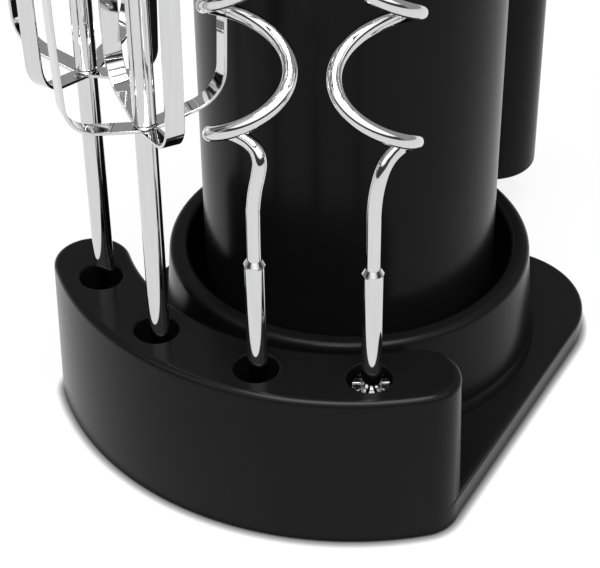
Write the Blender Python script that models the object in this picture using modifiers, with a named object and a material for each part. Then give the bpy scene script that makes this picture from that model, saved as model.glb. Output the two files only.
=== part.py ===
"""Tower hand mixer on its storage stand.

The mixer is a vertical tube that stands in a docking collar. A thinner handle tube hangs beside it
from a bridge at the top. The stand's curved rack holds two balloon beaters and two spiral dough
hooks with their plug ends down. +Z is up, the rack faces -Y and the handle is on the +Y side.
Every dimension is in metres, written as a number of millimetres times MM.
"""

import math

import bmesh
import bpy
from mathutils import Matrix, Vector

MM = 0.001
GAP = 0.3 * MM

# Heights above the table
BASE_BOTTOM = 0.8 * MM
COVER_TOP = 2.4 * MM
PLATE_TOP = 9.3 * MM
RACK_TOP = 50.4 * MM
COLLAR_TOP = 41.8 * MM
WELL_FLOOR = 9.6 * MM
MAT_TOP = 10.7 * MM
MIXER_BOTTOM = 11.0 * MM
MIXER_TOP = 216.0 * MM
HANDLE_BOTTOM = 17.5 * MM
HANDLE_TOP = 209.0 * MM
SPINDLE_Z = 183.0 * MM

# Stand plan, measured from the mixer's axis
STAND_WALL = 2.6 * MM
FRONT_RADIUS = 94.0 * MM
FRONT_SKIN = 92.4 * MM
SIDE_X = 69.7 * MM
LEFT_CORNER = 30.0 * MM
RIGHT_CORNER = 10.0 * MM
REAR_CORNER = 30.0 * MM
REAR_CORNER_X = 35.0 * MM
REAR_CORNER_Y = 32.0 * MM
RACK_RADIUS = 81.0 * MM
RACK_HALF_WIDTH = 11.5 * MM
RACK_DRAFT = 1.3 * MM
RACK_LEFT_END = math.radians(-41.7)
RACK_RIGHT_END = math.radians(44.6)
HOLE_RADIUS = 6.35 * MM
HOLE_ANGLES = [math.radians(a) for a in (-34.5, -12.0, 12.0, 34.5)]

# Mixer
BODY_RADIUS = 45.0 * MM
BODY_WALL = 2.4 * MM
HANDLE_Y = 98.0 * MM
HANDLE_RADIUS = 16.4 * MM
HANDLE_WALL = 2.2 * MM
SPINDLE_X = 22.0 * MM
SPINDLE_RADIUS = 5.6 * MM
SPINDLE_BORE = 3.3 * MM

# Worm drive: a two-start worm between two wheels
WORM_STARTS = 2
WHEEL_TEETH = 30
WHEEL_PITCH_RADIUS = 17.0 * MM
WORM_PITCH_RADIUS = SPINDLE_X - WHEEL_PITCH_RADIUS
TOOTH_PITCH = 2 * math.pi * WHEEL_PITCH_RADIUS / WHEEL_TEETH
TOOTH_TIP = 0.9 * MM
TOOTH_ROOT_WHEEL = 1.3 * MM
TOOTH_ROOT_WORM = 1.2 * MM
TOOTH_HALF_ROOT = 0.29
TOOTH_HALF_TIP = 0.10

# Controls
BUTTON_FACE_Y = 119.5 * MM
SLIDER_Z = 126.0 * MM
SLIDER_TRAVEL = 18.0 * MM
TURBO_Z = 160.0 * MM

# Attachments, which stand loosely in their holes: PLAY is how far they are from a hole's middle
BEATER_PLAY = [Vector((-0.1 * MM, 2.04 * MM, 0.0)), Vector((1.8 * MM, -0.98 * MM, 0.0))]
HOOK_PLAY = Vector((0.42 * MM, 0.26 * MM, 0.0))
SHAFT_RADIUS = 2.95 * MM
SHAFT_FOOT = 3.0 * MM
CAGE_RADIUS = 23.3 * MM
CAGE_WAIST = 22.3 * MM
CAGE_BEND = 10.5 * MM
ARM_RISE = 2.0 * MM
CAGE_TOP = 207.2 * MM
LOOP_STEP = 2.0 * MM
HUB_HEIGHT = 119.3 * MM
STRIP_WIDTH = 5.2 * MM
STRIP_THICKNESS = 0.9 * MM
BEATER_TURNS = [math.radians(2.0), math.radians(57.0)]
HOOK_TURN = math.radians(32.2)
HOOK_ROD = 1.95 * MM
HOOK_SHANK = 2.7 * MM
HOOK_RADIUS = 10.3 * MM
HOOK_PITCH = 36.0 * MM
HOOK_START_Z = 126.4 * MM
HOOK_TURNS = 2.0

# The origin is under the middle of the whole object, so the mixer's axis stands off it along Y.
# At the front the second beater's cage reaches furthest, at the back the eject button does.
CAGE_LEAN = math.pi / 2 - BEATER_TURNS[1]
CAGE_REACH = (CAGE_RADIUS + STRIP_THICKNESS / 2) * math.cos(CAGE_LEAN)
CAGE_REACH += STRIP_WIDTH / 2 * math.sin(CAGE_LEAN)
FRONT_REACH = RACK_RADIUS * math.cos(HOLE_ANGLES[1]) - BEATER_PLAY[1].y + CAGE_REACH
AXIS_Y = (FRONT_REACH - BUTTON_FACE_Y) / 2

for leftover in list(bpy.data.objects):
    bpy.data.objects.remove(leftover, do_unlink=True)

PARTS = bpy.data.collections.new("tower_hand_mixer")
CUTTERS = bpy.data.collections.new("cutters")
bpy.context.scene.collection.children.link(PARTS)
bpy.context.scene.collection.children.link(CUTTERS)


def material(name, color, roughness, metallic=0.0):
    made = bpy.data.materials.new(name)
    made.use_nodes = True
    shader = made.node_tree.nodes["Principled BSDF"]
    shader.inputs["Base Color"].default_value = (*color, 1.0)
    shader.inputs["Roughness"].default_value = roughness
    shader.inputs["Metallic"].default_value = metallic
    made.diffuse_color = (*color, 1.0)
    return made


BLACK = material("black_plastic", (0.014, 0.014, 0.015), 0.34)
GREY = material("grey_plastic", (0.10, 0.10, 0.11), 0.45)
RUBBER = material("rubber", (0.02, 0.02, 0.02), 0.85)
CHROME = material("chrome", (0.80, 0.80, 0.81), 0.06, 1.0)
STEEL = material("steel", (0.52, 0.52, 0.54), 0.32, 1.0)
COPPER = material("copper", (0.72, 0.33, 0.16), 0.35, 1.0)
BRONZE = material("bronze", (0.55, 0.36, 0.16), 0.4, 1.0)
NYLON = material("nylon", (0.80, 0.78, 0.70), 0.5)
CARBON = material("carbon", (0.03, 0.03, 0.032), 0.7)
BOARD = material("circuit_board", (0.05, 0.20, 0.09), 0.55)


def empty(name, location, turn=0.0, parent=None):
    made = bpy.data.objects.new(name, None)
    PARTS.objects.link(made)
    made.location = location
    made.rotation_euler = (0.0, 0.0, turn)
    made.parent = parent
    return made


def place(name, data, finish, parent, location=(0, 0, 0), rotation=(0, 0, 0)):
    """A new part object, or a cutter where finish is None."""
    made = bpy.data.objects.new(name, data)
    (PARTS if finish else CUTTERS).objects.link(made)
    made.parent = parent
    made.location = location
    made.rotation_euler = rotation
    if finish:
        data.materials.append(finish)
    else:
        made.hide_render = True
        made.display_type = "WIRE"
    return made


def mesh_from(build, name):
    """A mesh of what build(bm) makes."""
    bm = bmesh.new()
    build(bm)
    data = bpy.data.meshes.new(name)
    bm.to_mesh(data)
    bm.free()
    return data


def box_mesh(name, boxes):
    """Boxes, each given by its low and high corner in millimetres."""

    def build(bm):
        for low, high in boxes:
            size = [(b - a) * MM for a, b in zip(low, high)]
            middle = [(a + b) / 2 * MM for a, b in zip(low, high)]
            matrix = Matrix.Translation(middle) @ Matrix.Diagonal((*size, 1.0))
            bmesh.ops.create_cube(bm, size=1.0, matrix=matrix)

    return mesh_from(build, name)


def rod_mesh(name, rods, segments=16):
    """Cylinders, each given by its two end points and its radius in millimetres."""

    def build(bm):
        for start, end, radius in rods:
            start, end = Vector(start) * MM, Vector(end) * MM
            turn = Vector((0, 0, 1)).rotation_difference(end - start).to_matrix().to_4x4()
            matrix = Matrix.Translation((start + end) / 2) @ turn
            bmesh.ops.create_cone(
                bm,
                cap_ends=True,
                segments=segments,
                radius1=radius * MM,
                radius2=radius * MM,
                depth=(end - start).length,
                matrix=matrix,
            )

    return mesh_from(build, name)


def loft_mesh(name, layers):
    """A closed skin over outlines of equal length, listed bottom first and counter-clockwise."""

    def build(bm):
        rings = [[bm.verts.new(point) for point in layer] for layer in layers]
        count = len(rings[0])
        for low, high in zip(rings, rings[1:]):
            for i in range(count):
                j = (i + 1) % count
                bm.faces.new((low[i], low[j], high[j], high[i]))
        bm.faces.new(list(reversed(rings[0])))
        bm.faces.new(rings[-1])

    return mesh_from(build, name)


def turned(name, profile, finish, parent, steps=32, **where):
    """A Screw of a profile in millimetres, which runs down the outer side. It closes on itself
    unless both its ends lie on the axis."""
    points = [(r * MM, 0.0, z * MM) for r, z in profile]
    edges = [(i, i + 1) for i in range(len(points) - 1)]
    if profile[0][0] > 0:
        edges.append((len(points) - 1, 0))
    data = bpy.data.meshes.new(name)
    data.from_pydata(points, edges, [])
    made = place(name, data, finish, parent, **where)
    screw = made.modifiers.new("Turn", "SCREW")
    screw.steps = steps
    screw.render_steps = steps
    screw.use_merge_vertices = True
    screw.merge_threshold = 0.00001
    return made


def combine(obj, other, operation):
    step = obj.modifiers.new(operation.title(), "BOOLEAN")
    step.operation = operation
    step.object = other
    step.solver = "EXACT"


def cut(obj, *cutters):
    for cutter in cutters:
        combine(obj, cutter, "DIFFERENCE")


def fuse(obj, *others):
    for other in others:
        combine(obj, other, "UNION")


def round_edges(obj, width, segments=2):
    bevel = obj.modifiers.new("Round", "BEVEL")
    bevel.width = width
    bevel.segments = segments
    bevel.limit_method = "ANGLE"
    bevel.angle_limit = math.radians(40)


def arc(cx, cy, radius, start, end, steps):
    angles = [start + (end - start) * i / steps for i in range(steps + 1)]
    return [(cx + radius * math.cos(a), cy + radius * math.sin(a)) for a in angles]


def at_height(outline, z):
    return [(x, y, z) for x, y in outline]


def front_corner(radius):
    """Centre of a front corner's arc on the right, and the angles where it starts and ends."""
    x = SIDE_X - radius
    y = -math.sqrt((FRONT_RADIUS - radius) ** 2 - x**2)
    dx, dy = REAR_CORNER_X - x, REAR_CORNER_Y - y
    side = math.atan2(dy, dx) - math.acos((radius - REAR_CORNER) / math.hypot(dx, dy))
    return x, y, math.atan2(y, x), side


def stand_outline(inset):
    """Plan of the base plate: a front arc, two front corners and two broad rear corners. The left
    front corner is the wider one and lies under the rack."""
    left_x, left_y, left_front, left_side = front_corner(LEFT_CORNER)
    right_x, right_y, right_front, right_side = front_corner(RIGHT_CORNER)
    rear, left, right = (r - inset for r in (REAR_CORNER, LEFT_CORNER, RIGHT_CORNER))
    turn, half, step = 2 * math.pi, math.pi, math.radians(1.8)
    outline = arc(REAR_CORNER_X, REAR_CORNER_Y, rear, right_side, half / 2, 6)
    outline += arc(-REAR_CORNER_X, REAR_CORNER_Y, rear, half / 2, half - left_side, 6)
    outline += arc(-left_x, left_y, left, half - left_side, half - left_front, 5)
    outline += arc(0, 0, FRONT_SKIN - inset, half - left_front + step, turn + right_front - step, 12)
    outline += arc(right_x, right_y, right, turn + right_front, turn + right_side, 3)
    return outline


def rack_outline(grow):
    """Plan of the rack: a band around the mixer's axis with full-round ends."""
    half = RACK_HALF_WIDTH + grow
    left, right = RACK_LEFT_END - math.pi / 2, RACK_RIGHT_END - math.pi / 2
    left_x, left_y = RACK_RADIUS * math.cos(left), RACK_RADIUS * math.sin(left)
    right_x, right_y = RACK_RADIUS * math.cos(right), RACK_RADIUS * math.sin(right)
    outline = arc(0, 0, RACK_RADIUS + half, left, right, 16)
    outline += arc(right_x, right_y, half, right, right + math.pi, 6)[1:]
    outline += arc(0, 0, RACK_RADIUS - half, right, left, 16)[1:]
    outline += arc(left_x, left_y, half, left + math.pi, left + 2 * math.pi, 6)[1:-1]
    return outline


def on_rack(angle):
    return Vector((RACK_RADIUS * math.sin(angle), -RACK_RADIUS * math.cos(angle), 0.0))


def smooth(points, per_span):
    """Points along a Catmull-Rom curve through the given ones."""
    points = [Vector(p) for p in points]
    padded = [2 * points[0] - points[1], *points, 2 * points[-1] - points[-2]]
    route = []
    for a, b, c, d in zip(padded, padded[1:], padded[2:], padded[3:]):
        for i in range(per_span):
            t = i / per_span
            near = 2 * b + (c - a) * t
            far = (2 * a - 5 * b + 4 * c - d) * t**2 + (3 * b - 3 * c + d - a) * t**3
            route.append((near + far) / 2)
    return [*route, points[-1]]


def wire(name, points, radius, finish, parent, sides=2, **where):
    """A round wire along points in metres."""
    data = bpy.data.curves.new(name, "CURVE")
    data.dimensions = "3D"
    data.bevel_depth = radius
    data.bevel_resolution = sides
    data.use_fill_caps = True
    spline = data.splines.new("POLY")
    spline.points.add(len(points) - 1)
    for point, place_at in zip(spline.points, points):
        point.co = (*place_at, 1.0)
    return place(name, data, finish, parent, **where)


def bezier(a, b, c, d, steps):
    """Points of one cubic span, its last point left out."""
    points = []
    for i in range(steps):
        t = i / steps
        u = 1 - t
        weights = (u**3, 3 * u * u * t, 3 * u * t * t, t**3)
        points.append(tuple(sum(w * p[k] for w, p in zip(weights, (a, b, c, d))) for k in (0, 1)))
    return points


def build_stand(axis):
    top_bevel = 1.6 * MM
    plate = [
        at_height(stand_outline(0.8 * MM), BASE_BOTTOM),
        at_height(stand_outline(0.0), 2 * BASE_BOTTOM),
        at_height(stand_outline(0.0), PLATE_TOP - top_bevel),
        at_height(stand_outline(top_bevel), PLATE_TOP),
    ]
    rack = [
        at_height(rack_outline(RACK_DRAFT), BASE_BOTTOM),
        at_height(rack_outline(0.05 * MM), RACK_TOP - 1.8 * MM),
        at_height(rack_outline(-0.35 * MM), RACK_TOP - 0.5 * MM),
        at_height(rack_outline(-1.1 * MM), RACK_TOP),
    ]
    below = -2.0 * MM
    plate_hollow = [
        at_height(stand_outline(STAND_WALL), below),
        at_height(stand_outline(STAND_WALL), PLATE_TOP - STAND_WALL),
    ]
    rack_hollow = [
        at_height(rack_outline(-STAND_WALL), below),
        at_height(rack_outline(-STAND_WALL), RACK_TOP - STAND_WALL),
    ]
    base = place("stand_base", loft_mesh("stand_base", plate), BLACK, axis)
    fuse(base, place("rack_body", loft_mesh("rack_body", rack), None, axis))
    cut(base, place("plate_hollow", loft_mesh("plate_hollow", plate_hollow), None, axis))
    cut(base, place("rack_hollow", loft_mesh("rack_hollow", rack_hollow), None, axis))
    top = RACK_TOP / MM
    hole = HOLE_RADIUS / MM
    tubes, holes = [], []
    for angle in HOLE_ANGLES:
        x, y, _ = on_rack(angle) / MM
        tubes.append(((x, y, 2.7), (x, y, top - 1.0), hole + 2.0))
        holes.append(((x, y, -2.0), (x, y, top + 5.0), hole))
    fuse(base, place("hole_tubes", rod_mesh("hole_tubes", tubes), None, axis))
    cut(base, place("hole_bores", rod_mesh("hole_bores", holes), None, axis))
    screw_spots = [(-52, -34), (52, -34), (-46, 40), (46, 40)]
    bosses = [((x, y, 4.4), (x, y, 8.0), 4.0) for x, y in screw_spots]
    pilots = [((x, y, -2.0), (x, y, 7.6), 1.6) for x, y in screw_spots]
    fuse(base, place("screw_bosses", rod_mesh("screw_bosses", bosses, 12), None, axis))
    cut(base, place("screw_pilots", rod_mesh("screw_pilots", pilots, 12), None, axis))

    rim, low = COLLAR_TOP / MM, WELL_FLOOR / MM
    collar = [(53.2, rim), (55.1, rim - 0.6), (56.0, rim - 2.2), (58.4, 12.5), (59.4, low)]
    collar += [(57.0, low), (53.8, rim - 3.2), (52.4, rim - 3.2), (49.4, low), (47.0, low)]
    collar += [(50.2, rim - 2.4), (51.2, rim - 0.6)]
    turned("docking_collar", collar, BLACK, axis, 48)
    mat_top = MAT_TOP / MM
    mat = [(0, mat_top), (46.2, mat_top), (46.2, low), (0, low)]
    turned("well_mat", mat, RUBBER, axis, 36)

    inset = STAND_WALL + GAP
    cover_layers = [
        at_height(stand_outline(inset), BASE_BOTTOM),
        at_height(stand_outline(inset), COVER_TOP),
    ]
    cover = place("base_cover", loft_mesh("base_cover", cover_layers), BLACK, axis)
    foot_spots = [(-53, -50), (53, -50), (-38, 46), (38, 46)]
    recesses = [((x, y, 0.0), (x, y, 1.6), 6.3) for x, y in foot_spots]
    heads = [((x, y, 0.0), (x, y, 1.5), 3.3) for x, y in screw_spots]
    stems = [((x, y, 0.0), (x, y, 5.0), 1.7) for x, y in screw_spots]
    cut(cover, place("foot_recesses", rod_mesh("foot_recesses", recesses, 14), None, axis))
    cut(cover, place("head_recesses", rod_mesh("head_recesses", heads, 10), None, axis))
    cut(cover, place("stem_holes", rod_mesh("stem_holes", stems, 8), None, axis))
    for number, (x, y) in enumerate(foot_spots, 1):
        foot = [(0, 1.3), (6.0, 1.3), (6.0, 0.5), (5.5, 0.0), (0, 0.0)]
        where = (x * MM, y * MM, 0.0)
        turned(f"rubber_foot_{number}", foot, RUBBER, axis, 14, location=where)
    for number, (x, y) in enumerate(screw_spots, 1):
        screw = [(0, 7.0), (1.0, 7.0), (1.3, 6.6), (1.3, 1.2), (2.9, 1.2), (2.9, 0.9), (0, 0.9)]
        where = (x * MM, y * MM, 0.0)
        turned(f"base_screw_{number}", screw, STEEL, axis, 8, location=where)


def build_body(axis):
    outer = BODY_RADIUS / MM
    inner = outer - BODY_WALL / MM
    spindle_z = SPINDLE_Z / MM
    wall = [(outer, 203.7), (outer, 17.3), (inner, 17.3), (inner, 203.7)]
    tube = turned("body_tube", wall, BLACK, axis, 48)
    sockets = [((x, -60, spindle_z), (x, -20, spindle_z), 8.8) for x in (-22, 22)]
    passages = [((0, 30, spindle_z), (0, 60, spindle_z), 9.0), ((0, 30, 62), (0, 60, 62), 5.3)]
    vents = [((-9, 38, 84 + 7 * i), (9, 50, 86.4 + 7 * i)) for i in range(5)]
    cut(tube, place("socket_holes", rod_mesh("socket_holes", sockets), None, axis))
    cut(tube, place("rear_passages", rod_mesh("rear_passages", passages), None, axis))
    cut(tube, place("vent_slots", box_mesh("vent_slots", vents), None, axis))

    rear = [(0, 14.2), (39.8, 14.2), (39.8, 23.0), (42.2, 23.0), (42.2, 17.0), (45.0, 17.0)]
    low = MIXER_BOTTOM / MM
    rear += [(45.0, low + 1.4), (43.4, low), (0, low)]
    rear_cap = turned("rear_cap", rear, BLACK, axis, 36)
    inlets = [((12 + 6 * i, -9, 9), (14.4 + 6 * i, 9, 16)) for i in range(4)]
    inlets += [((-14.4 - 6 * i, -9, 9), (-12 - 6 * i, 9, 16)) for i in range(4)]
    cut(rear_cap, place("inlet_slots", box_mesh("inlet_slots", inlets), None, axis))

    top = MIXER_TOP / MM
    front = [(0, top), (34.0, top), (41.6, top - 2.8), (45.0, top - 9.0), (45.0, 204.0)]
    front += [(42.2, 204.0), (42.2, 198.0), (39.8, 198.0), (39.8, 207.0), (34.0, 213.0), (0, 213.0)]
    turned("front_cap", front, BLACK, axis, 36)

    toward_front = (math.pi / 2, 0.0, 0.0)
    for side, x in (("left", -SPINDLE_X), ("right", SPINDLE_X)):
        collar = [(8.3, 46.2), (8.5, 45.4), (8.5, 28.0), (5.9, 28.0), (5.9, 45.6), (6.5, 46.2)]
        where = (x, 0.0, SPINDLE_Z)
        name = f"socket_collar_{side}"
        turned(name, collar, GREY, axis, 18, location=where, rotation=toward_front)

    grommet = [(5.4, 54.0), (6.6, 49.0), (7.6, 48.4), (7.6, 45.4), (5.0, 45.4), (5.0, 39.0)]
    grommet += [(3.2, 39.0), (3.2, 54.0)]
    back = (-math.pi / 2, 0.0, 0.0)
    where = (0.0, 0.0, 62 * MM)
    turned("cord_grommet", grommet, RUBBER, axis, 14, location=where, rotation=back)


def build_handle(axis):
    outer = HANDLE_RADIUS / MM
    inner = outer - HANDLE_WALL / MM
    top, low = HANDLE_TOP / MM, HANDLE_BOTTOM / MM
    skin = [(0, top), (7.0, top - 0.6), (12.8, top - 3.4), (outer, top - 9.5), (outer, low + 1.9)]
    skin += [(14.6, low), (11.3, low), (11.3, low + 2.5), (inner, low + 3.1), (inner, top - 10.5)]
    skin += [(10.8, top - 5.2), (0, top - 2.5)]
    spindle_z = SPINDLE_Z / MM
    y = HANDLE_Y / MM
    handle = empty("handle_axis", (0.0, HANDLE_Y, 0.0), 0.0, axis)
    tunnel = rod_mesh("stem_tunnel", [((0, -22, spindle_z), (0, 0, spindle_z), 9.0)])
    turbo_z = TURBO_Z / MM
    turbo_hole = rod_mesh("turbo_hole", [((0, 0, turbo_z), (0, 30, turbo_z), 5.9)])
    slot_low = SLIDER_Z / MM - 3.4
    slot_high = (SLIDER_Z + SLIDER_TRAVEL) / MM + 3.4
    windows = [((-6.9, 0, spindle_z - 6.9), (6.9, 30, spindle_z + 6.9))]
    windows += [((-2.3, 0, slot_low), (2.3, 30, slot_high))]
    tunnel_cutter = place("stem_tunnel", tunnel, None, handle)
    turbo_cutter = place("turbo_hole", turbo_hole, None, handle)
    window_cutter = place("control_windows", box_mesh("control_windows", windows), None, handle)
    for side, low, high in (("left", -0.15, 40), ("right", -40, 0.15)):
        shell = turned(f"handle_shell_{side}", skin, BLACK, handle, 28)
        half = box_mesh(f"{side}_half", [((low, -40, 0), (high, 40, 230))])
        cut(shell, place(f"{side}_half", half, None, handle))
        cut(shell, tunnel_cutter, turbo_cutter, window_cutter)
    plug = [(0, 22.5), (13.7, 22.5), (13.7, 20.9), (11.0, 20.9), (11.0, 18.0)]
    turned("handle_end_plug", [*plug, (0, 18.0)], BLACK, handle, 20)

    def section(half_x, half_z, corner, y_at):
        quarter = math.pi / 2
        spots = [(half_x - corner, half_z - corner, 0), (corner - half_x, half_z - corner, 1)]
        spots += [(corner - half_x, corner - half_z, 2), (half_x - corner, corner - half_z, 3)]
        outline = []
        for cx, cz, turn in spots:
            outline += arc(cx, cz, corner, turn * quarter, (turn + 1) * quarter, 3)
        return [(x, y_at, SPINDLE_Z - MM + z) for x, z in reversed(outline)]

    ends = (36 * MM, 92 * MM)
    skin_mesh = loft_mesh("bridge", [section(14 * MM, 17 * MM, 6 * MM, e) for e in ends])
    hollow = loft_mesh("bridge_hollow", [section(11.4 * MM, 14.4 * MM, 3.6 * MM, e) for e in ends])
    bridge = place("bridge_housing", skin_mesh, BLACK, axis)
    cut(bridge, place("bridge_hollow", hollow, None, axis))
    bodies = [((0, 0, 150), (0, 0, 215), BODY_RADIUS / MM + 0.3)]
    grips = [((0, y, 150), (0, y, 215), outer + 0.3)]
    cut(bridge, place("body_clearance", rod_mesh("body_clearance", bodies, 48), None, axis))
    cut(bridge, place("grip_clearance", rod_mesh("grip_clearance", grips, 28), None, axis))

    board = box_mesh("switch_board", [((-9, 100, 116), (9, 101.6, 170))])
    place("switch_board", board, BOARD, axis)


def build_controls(axis):
    z = SPINDLE_Z / MM
    head = box_mesh("eject_button", [((-6.5, 108, z - 6.5), (6.5, BUTTON_FACE_Y / MM, z + 6.5))])
    button = place("eject_button", head, GREY, axis)
    round_edges(button, 1.2 * MM)
    stem = rod_mesh("eject_stem", [((0, 30.3, z), (0, 110, z), 3.0)], 10)
    fuse(button, place("eject_stem", stem, None, axis))
    plate = box_mesh("ejector_yoke", [((-27, 27, z - 6), (27, 30, z + 6))])
    yoke = place("ejector_yoke", plate, STEEL, axis)
    pins = [((x, -4, z), (x, 28, z), 2.6) for x in (-22, 22)]
    fuse(yoke, place("ejector_pins", rod_mesh("ejector_pins", pins, 12), None, axis))
    coil = []
    turns, steps, start, length, radius = 4, 8, 14.8, 11.4, 5.0 * MM
    for i in range(turns * steps + 1):
        angle = 2 * math.pi * i / steps
        along = (start + length * i / (turns * steps)) * MM
        coil.append((radius * math.cos(angle), along, SPINDLE_Z + radius * math.sin(angle)))
    wire("eject_spring", coil, 0.45 * MM, STEEL, axis, 0)

    middle = SLIDER_Z / MM
    pieces = [((-5.5, 114.9, middle - 6), (5.5, 117.9, middle + 6))]
    knob = place("speed_slider", box_mesh("speed_slider", pieces), GREY, axis)
    round_edges(knob, 0.8 * MM)
    stem = [((-2.0, 105, middle - 3), (2.0, 116, middle + 3))]
    foot = [((-6.0, 103.6, middle - 5), (6.0, 107, middle + 5))]
    fuse(knob, place("slider_stem", box_mesh("slider_stem", stem), None, axis))
    fuse(knob, place("slider_foot", box_mesh("slider_foot", foot), None, axis))

    where = (0.0, 0.0, TURBO_Z)
    back = (-math.pi / 2, 0.0, 0.0)
    turbo = [(0, 117.2), (4.0, 117.0), (5.2, 116.2), (5.4, 115.2), (5.4, 108.0), (2.5, 108.0)]
    turbo += [(2.5, 104.2), (0, 104.2)]
    turned("turbo_button", turbo, GREY, axis, 16, location=where, rotation=back)


def build_motor(axis):
    core = box_mesh("stator_core", [((-27, -27, 78), (27, 27, 118))])
    stator = place("stator_core", core, STEEL, axis)
    corners = stator.modifiers.new("Corners", "BEVEL")
    corners.width = 7 * MM
    corners.segments = 3
    corners.limit_method = "WEIGHT"
    weights = core.attributes.new("bevel_weight_edge", "FLOAT", "EDGE")
    for edge in core.edges:
        a, b = (core.vertices[i].co for i in edge.vertices)
        weights.data[edge.index].value = 1.0 if abs(a.z - b.z) > MM else 0.0
    bore = rod_mesh("stator_bore", [((0, 0, 70), (0, 0, 126), 17.2)], 32)
    cut(stator, place("stator_bore", bore, None, axis))
    windows = []
    for sx in (-1, 1):
        for sy in (-1, 1):
            xs = sorted((sx * 12.0, sx * 23.8))
            ys = sorted((sy * 7.3, sy * 14.8))
            windows.append(((xs[0], ys[0], 70), (xs[1], ys[1], 126)))
    cut(stator, place("coil_windows", box_mesh("coil_windows", windows), None, axis))
    for side, low, high in (("left", -23.4, -17.8), ("right", 17.8, 23.4)):
        ring = box_mesh(f"field_coil_{side}", [((low, -14.4, 72), (high, 14.4, 124))])
        coil = place(f"field_coil_{side}", ring, COPPER, axis)
        hole = box_mesh(f"{side}_pole", [((low - 2, -7.6, 77.7), (high + 2, 7.6, 118.3))])
        cut(coil, place(f"{side}_pole", hole, None, axis))

    bar = [((-38, -9, 25), (38, 9, 28))]
    posts = [((29, -5, 26), (35, 5, 77.7)), ((-35, -5, 26), (-29, 5, 77.7))]
    feet = [((24.2, -5, 73), (30, 5, 77.7)), ((-30, -5, 73), (-24.2, 5, 77.7))]
    tubes = [((11, -4.2, 58), (31, 4.2, 67)), ((-31, -4.2, 58), (-11, 4.2, 67))]
    bracket = place("motor_bracket", box_mesh("motor_bracket", bar), GREY, axis)
    for name, boxes in (("bracket_posts", posts), ("bracket_feet", feet), ("brush_tubes", tubes)):
        fuse(bracket, place(name, box_mesh(name, boxes), None, axis))
    slots = box_mesh("brush_slots", [((-40, -2.9, 59.6), (40, 2.9, 65.4))])
    seat = rod_mesh("lower_seat", [((0, 0, 20), (0, 0, 32), 5.3)], 20)
    cut(bracket, place("brush_slots", slots, None, axis))
    cut(bracket, place("lower_seat", seat, None, axis))
    for side, low, high in (("left", -27, -9.4), ("right", 9.4, 27)):
        block = box_mesh(f"carbon_brush_{side}", [((low, -2.6, 59.9), (high, 2.6, 65.1))])
        place(f"carbon_brush_{side}", block, CARBON, axis)
    for place_name, low in (("lower", 24.2), ("upper", 156.4)):
        bush = [(5.0, low + 6.6), (5.0, low), (2.8, low), (2.8, low + 6.6)]
        turned(f"bearing_{place_name}", bush, BRONZE, axis, 14)


def build_rotor(rotor):
    sides = 16
    step = TOOTH_PITCH / 8
    tip = WORM_PITCH_RADIUS + TOOTH_TIP
    root = WORM_PITCH_RADIUS - TOOTH_ROOT_WORM
    plain = 2.5 * MM

    def thread_radius(angle, z):
        turns = (z - SPINDLE_Z) / TOOTH_PITCH - WORM_STARTS * angle / (2 * math.pi)
        away = abs(turns - round(turns))
        share = (away - TOOTH_HALF_TIP) / (TOOTH_HALF_ROOT - TOOTH_HALF_TIP)
        return tip + (root - tip) * min(1.0, max(0.0, share))

    def ring(z, radius_at):
        angles = [2 * math.pi * i / sides for i in range(sides)]
        return [(radius_at(a) * math.cos(a), radius_at(a) * math.sin(a), z) for a in angles]

    rows = 30
    low, high = SPINDLE_Z - rows / 2 * step, SPINDLE_Z + rows / 2 * step
    layers = [ring(z, lambda a: plain) for z in (22 * MM, low - 1.2 * MM)]
    layers.append(ring(low - 1.0 * MM, lambda a: root))
    for i in range(rows + 1):
        z = low + i * step
        layers.append(ring(z, lambda a, z=z: thread_radius(a, z)))
    layers.append(ring(high + 1.0 * MM, lambda a: root))
    layers += [ring(z, lambda a: plain) for z in (high + 1.2 * MM, 196 * MM)]
    place("rotor_shaft", loft_mesh("rotor_shaft", layers), STEEL, rotor)

    def slotted(name, radius, root_radius, slots, half_slot, low_z, high_z, finish):
        outline = []
        for i in range(slots):
            middle = 2 * math.pi * i / slots
            half = math.pi / slots
            outline += arc(0, 0, root_radius, middle - half_slot, middle + half_slot, 1)
            outline += arc(0, 0, radius, middle + half_slot, middle + 2 * half - half_slot, 2)
        layers = [at_height(outline, z * MM) for z in (low_z, high_z)]
        made = place(name, loft_mesh(name, layers), finish, rotor)
        bore = rod_mesh(f"{name}_bore", [((0, 0, low_z - 2), (0, 0, high_z + 2), 2.8)], 16)
        cut(made, place(f"{name}_bore", bore, None, rotor))

    slotted("armature_core", 16.6 * MM, 10.5 * MM, 12, math.radians(5), 79, 117, STEEL)
    slotted("commutator", 9.0 * MM, 8.3 * MM, 12, math.radians(2.5), 56, 69, COPPER)
    for name, low_z in (("winding_head_lower", 69.7), ("winding_head_upper", 117.4)):
        bulge = [(9.0, low_z + 8.9), (14.0, low_z + 6.6), (14.0, low_z + 2.2), (9.0, low_z)]
        bulge += [(2.8, low_z), (2.8, low_z + 8.9)]
        turned(name, bulge, COPPER, rotor, 16)
    fan = [(6.0, 46.0), (6.0, 36.2), (26.0, 36.2), (26.0, 34.4), (2.8, 34.4), (2.8, 46.0)]
    wheel = turned("cooling_fan", fan, NYLON, rotor, 20)
    blades = box_mesh("fan_blades", [])
    bm = bmesh.new()
    for i in range(9):
        turn = Matrix.Rotation(2 * math.pi * i / 9, 4, "Z")
        shape = Matrix.Translation((15.4 * MM, 0, 40 * MM)) @ Matrix.Diagonal(
            (20 * MM, 1.4 * MM, 8.4 * MM, 1.0)
        )
        bmesh.ops.create_cube(bm, size=1.0, matrix=turn @ shape)
    bm.to_mesh(blades)
    bm.free()
    fuse(wheel, place("fan_blades", blades, None, rotor))


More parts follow.
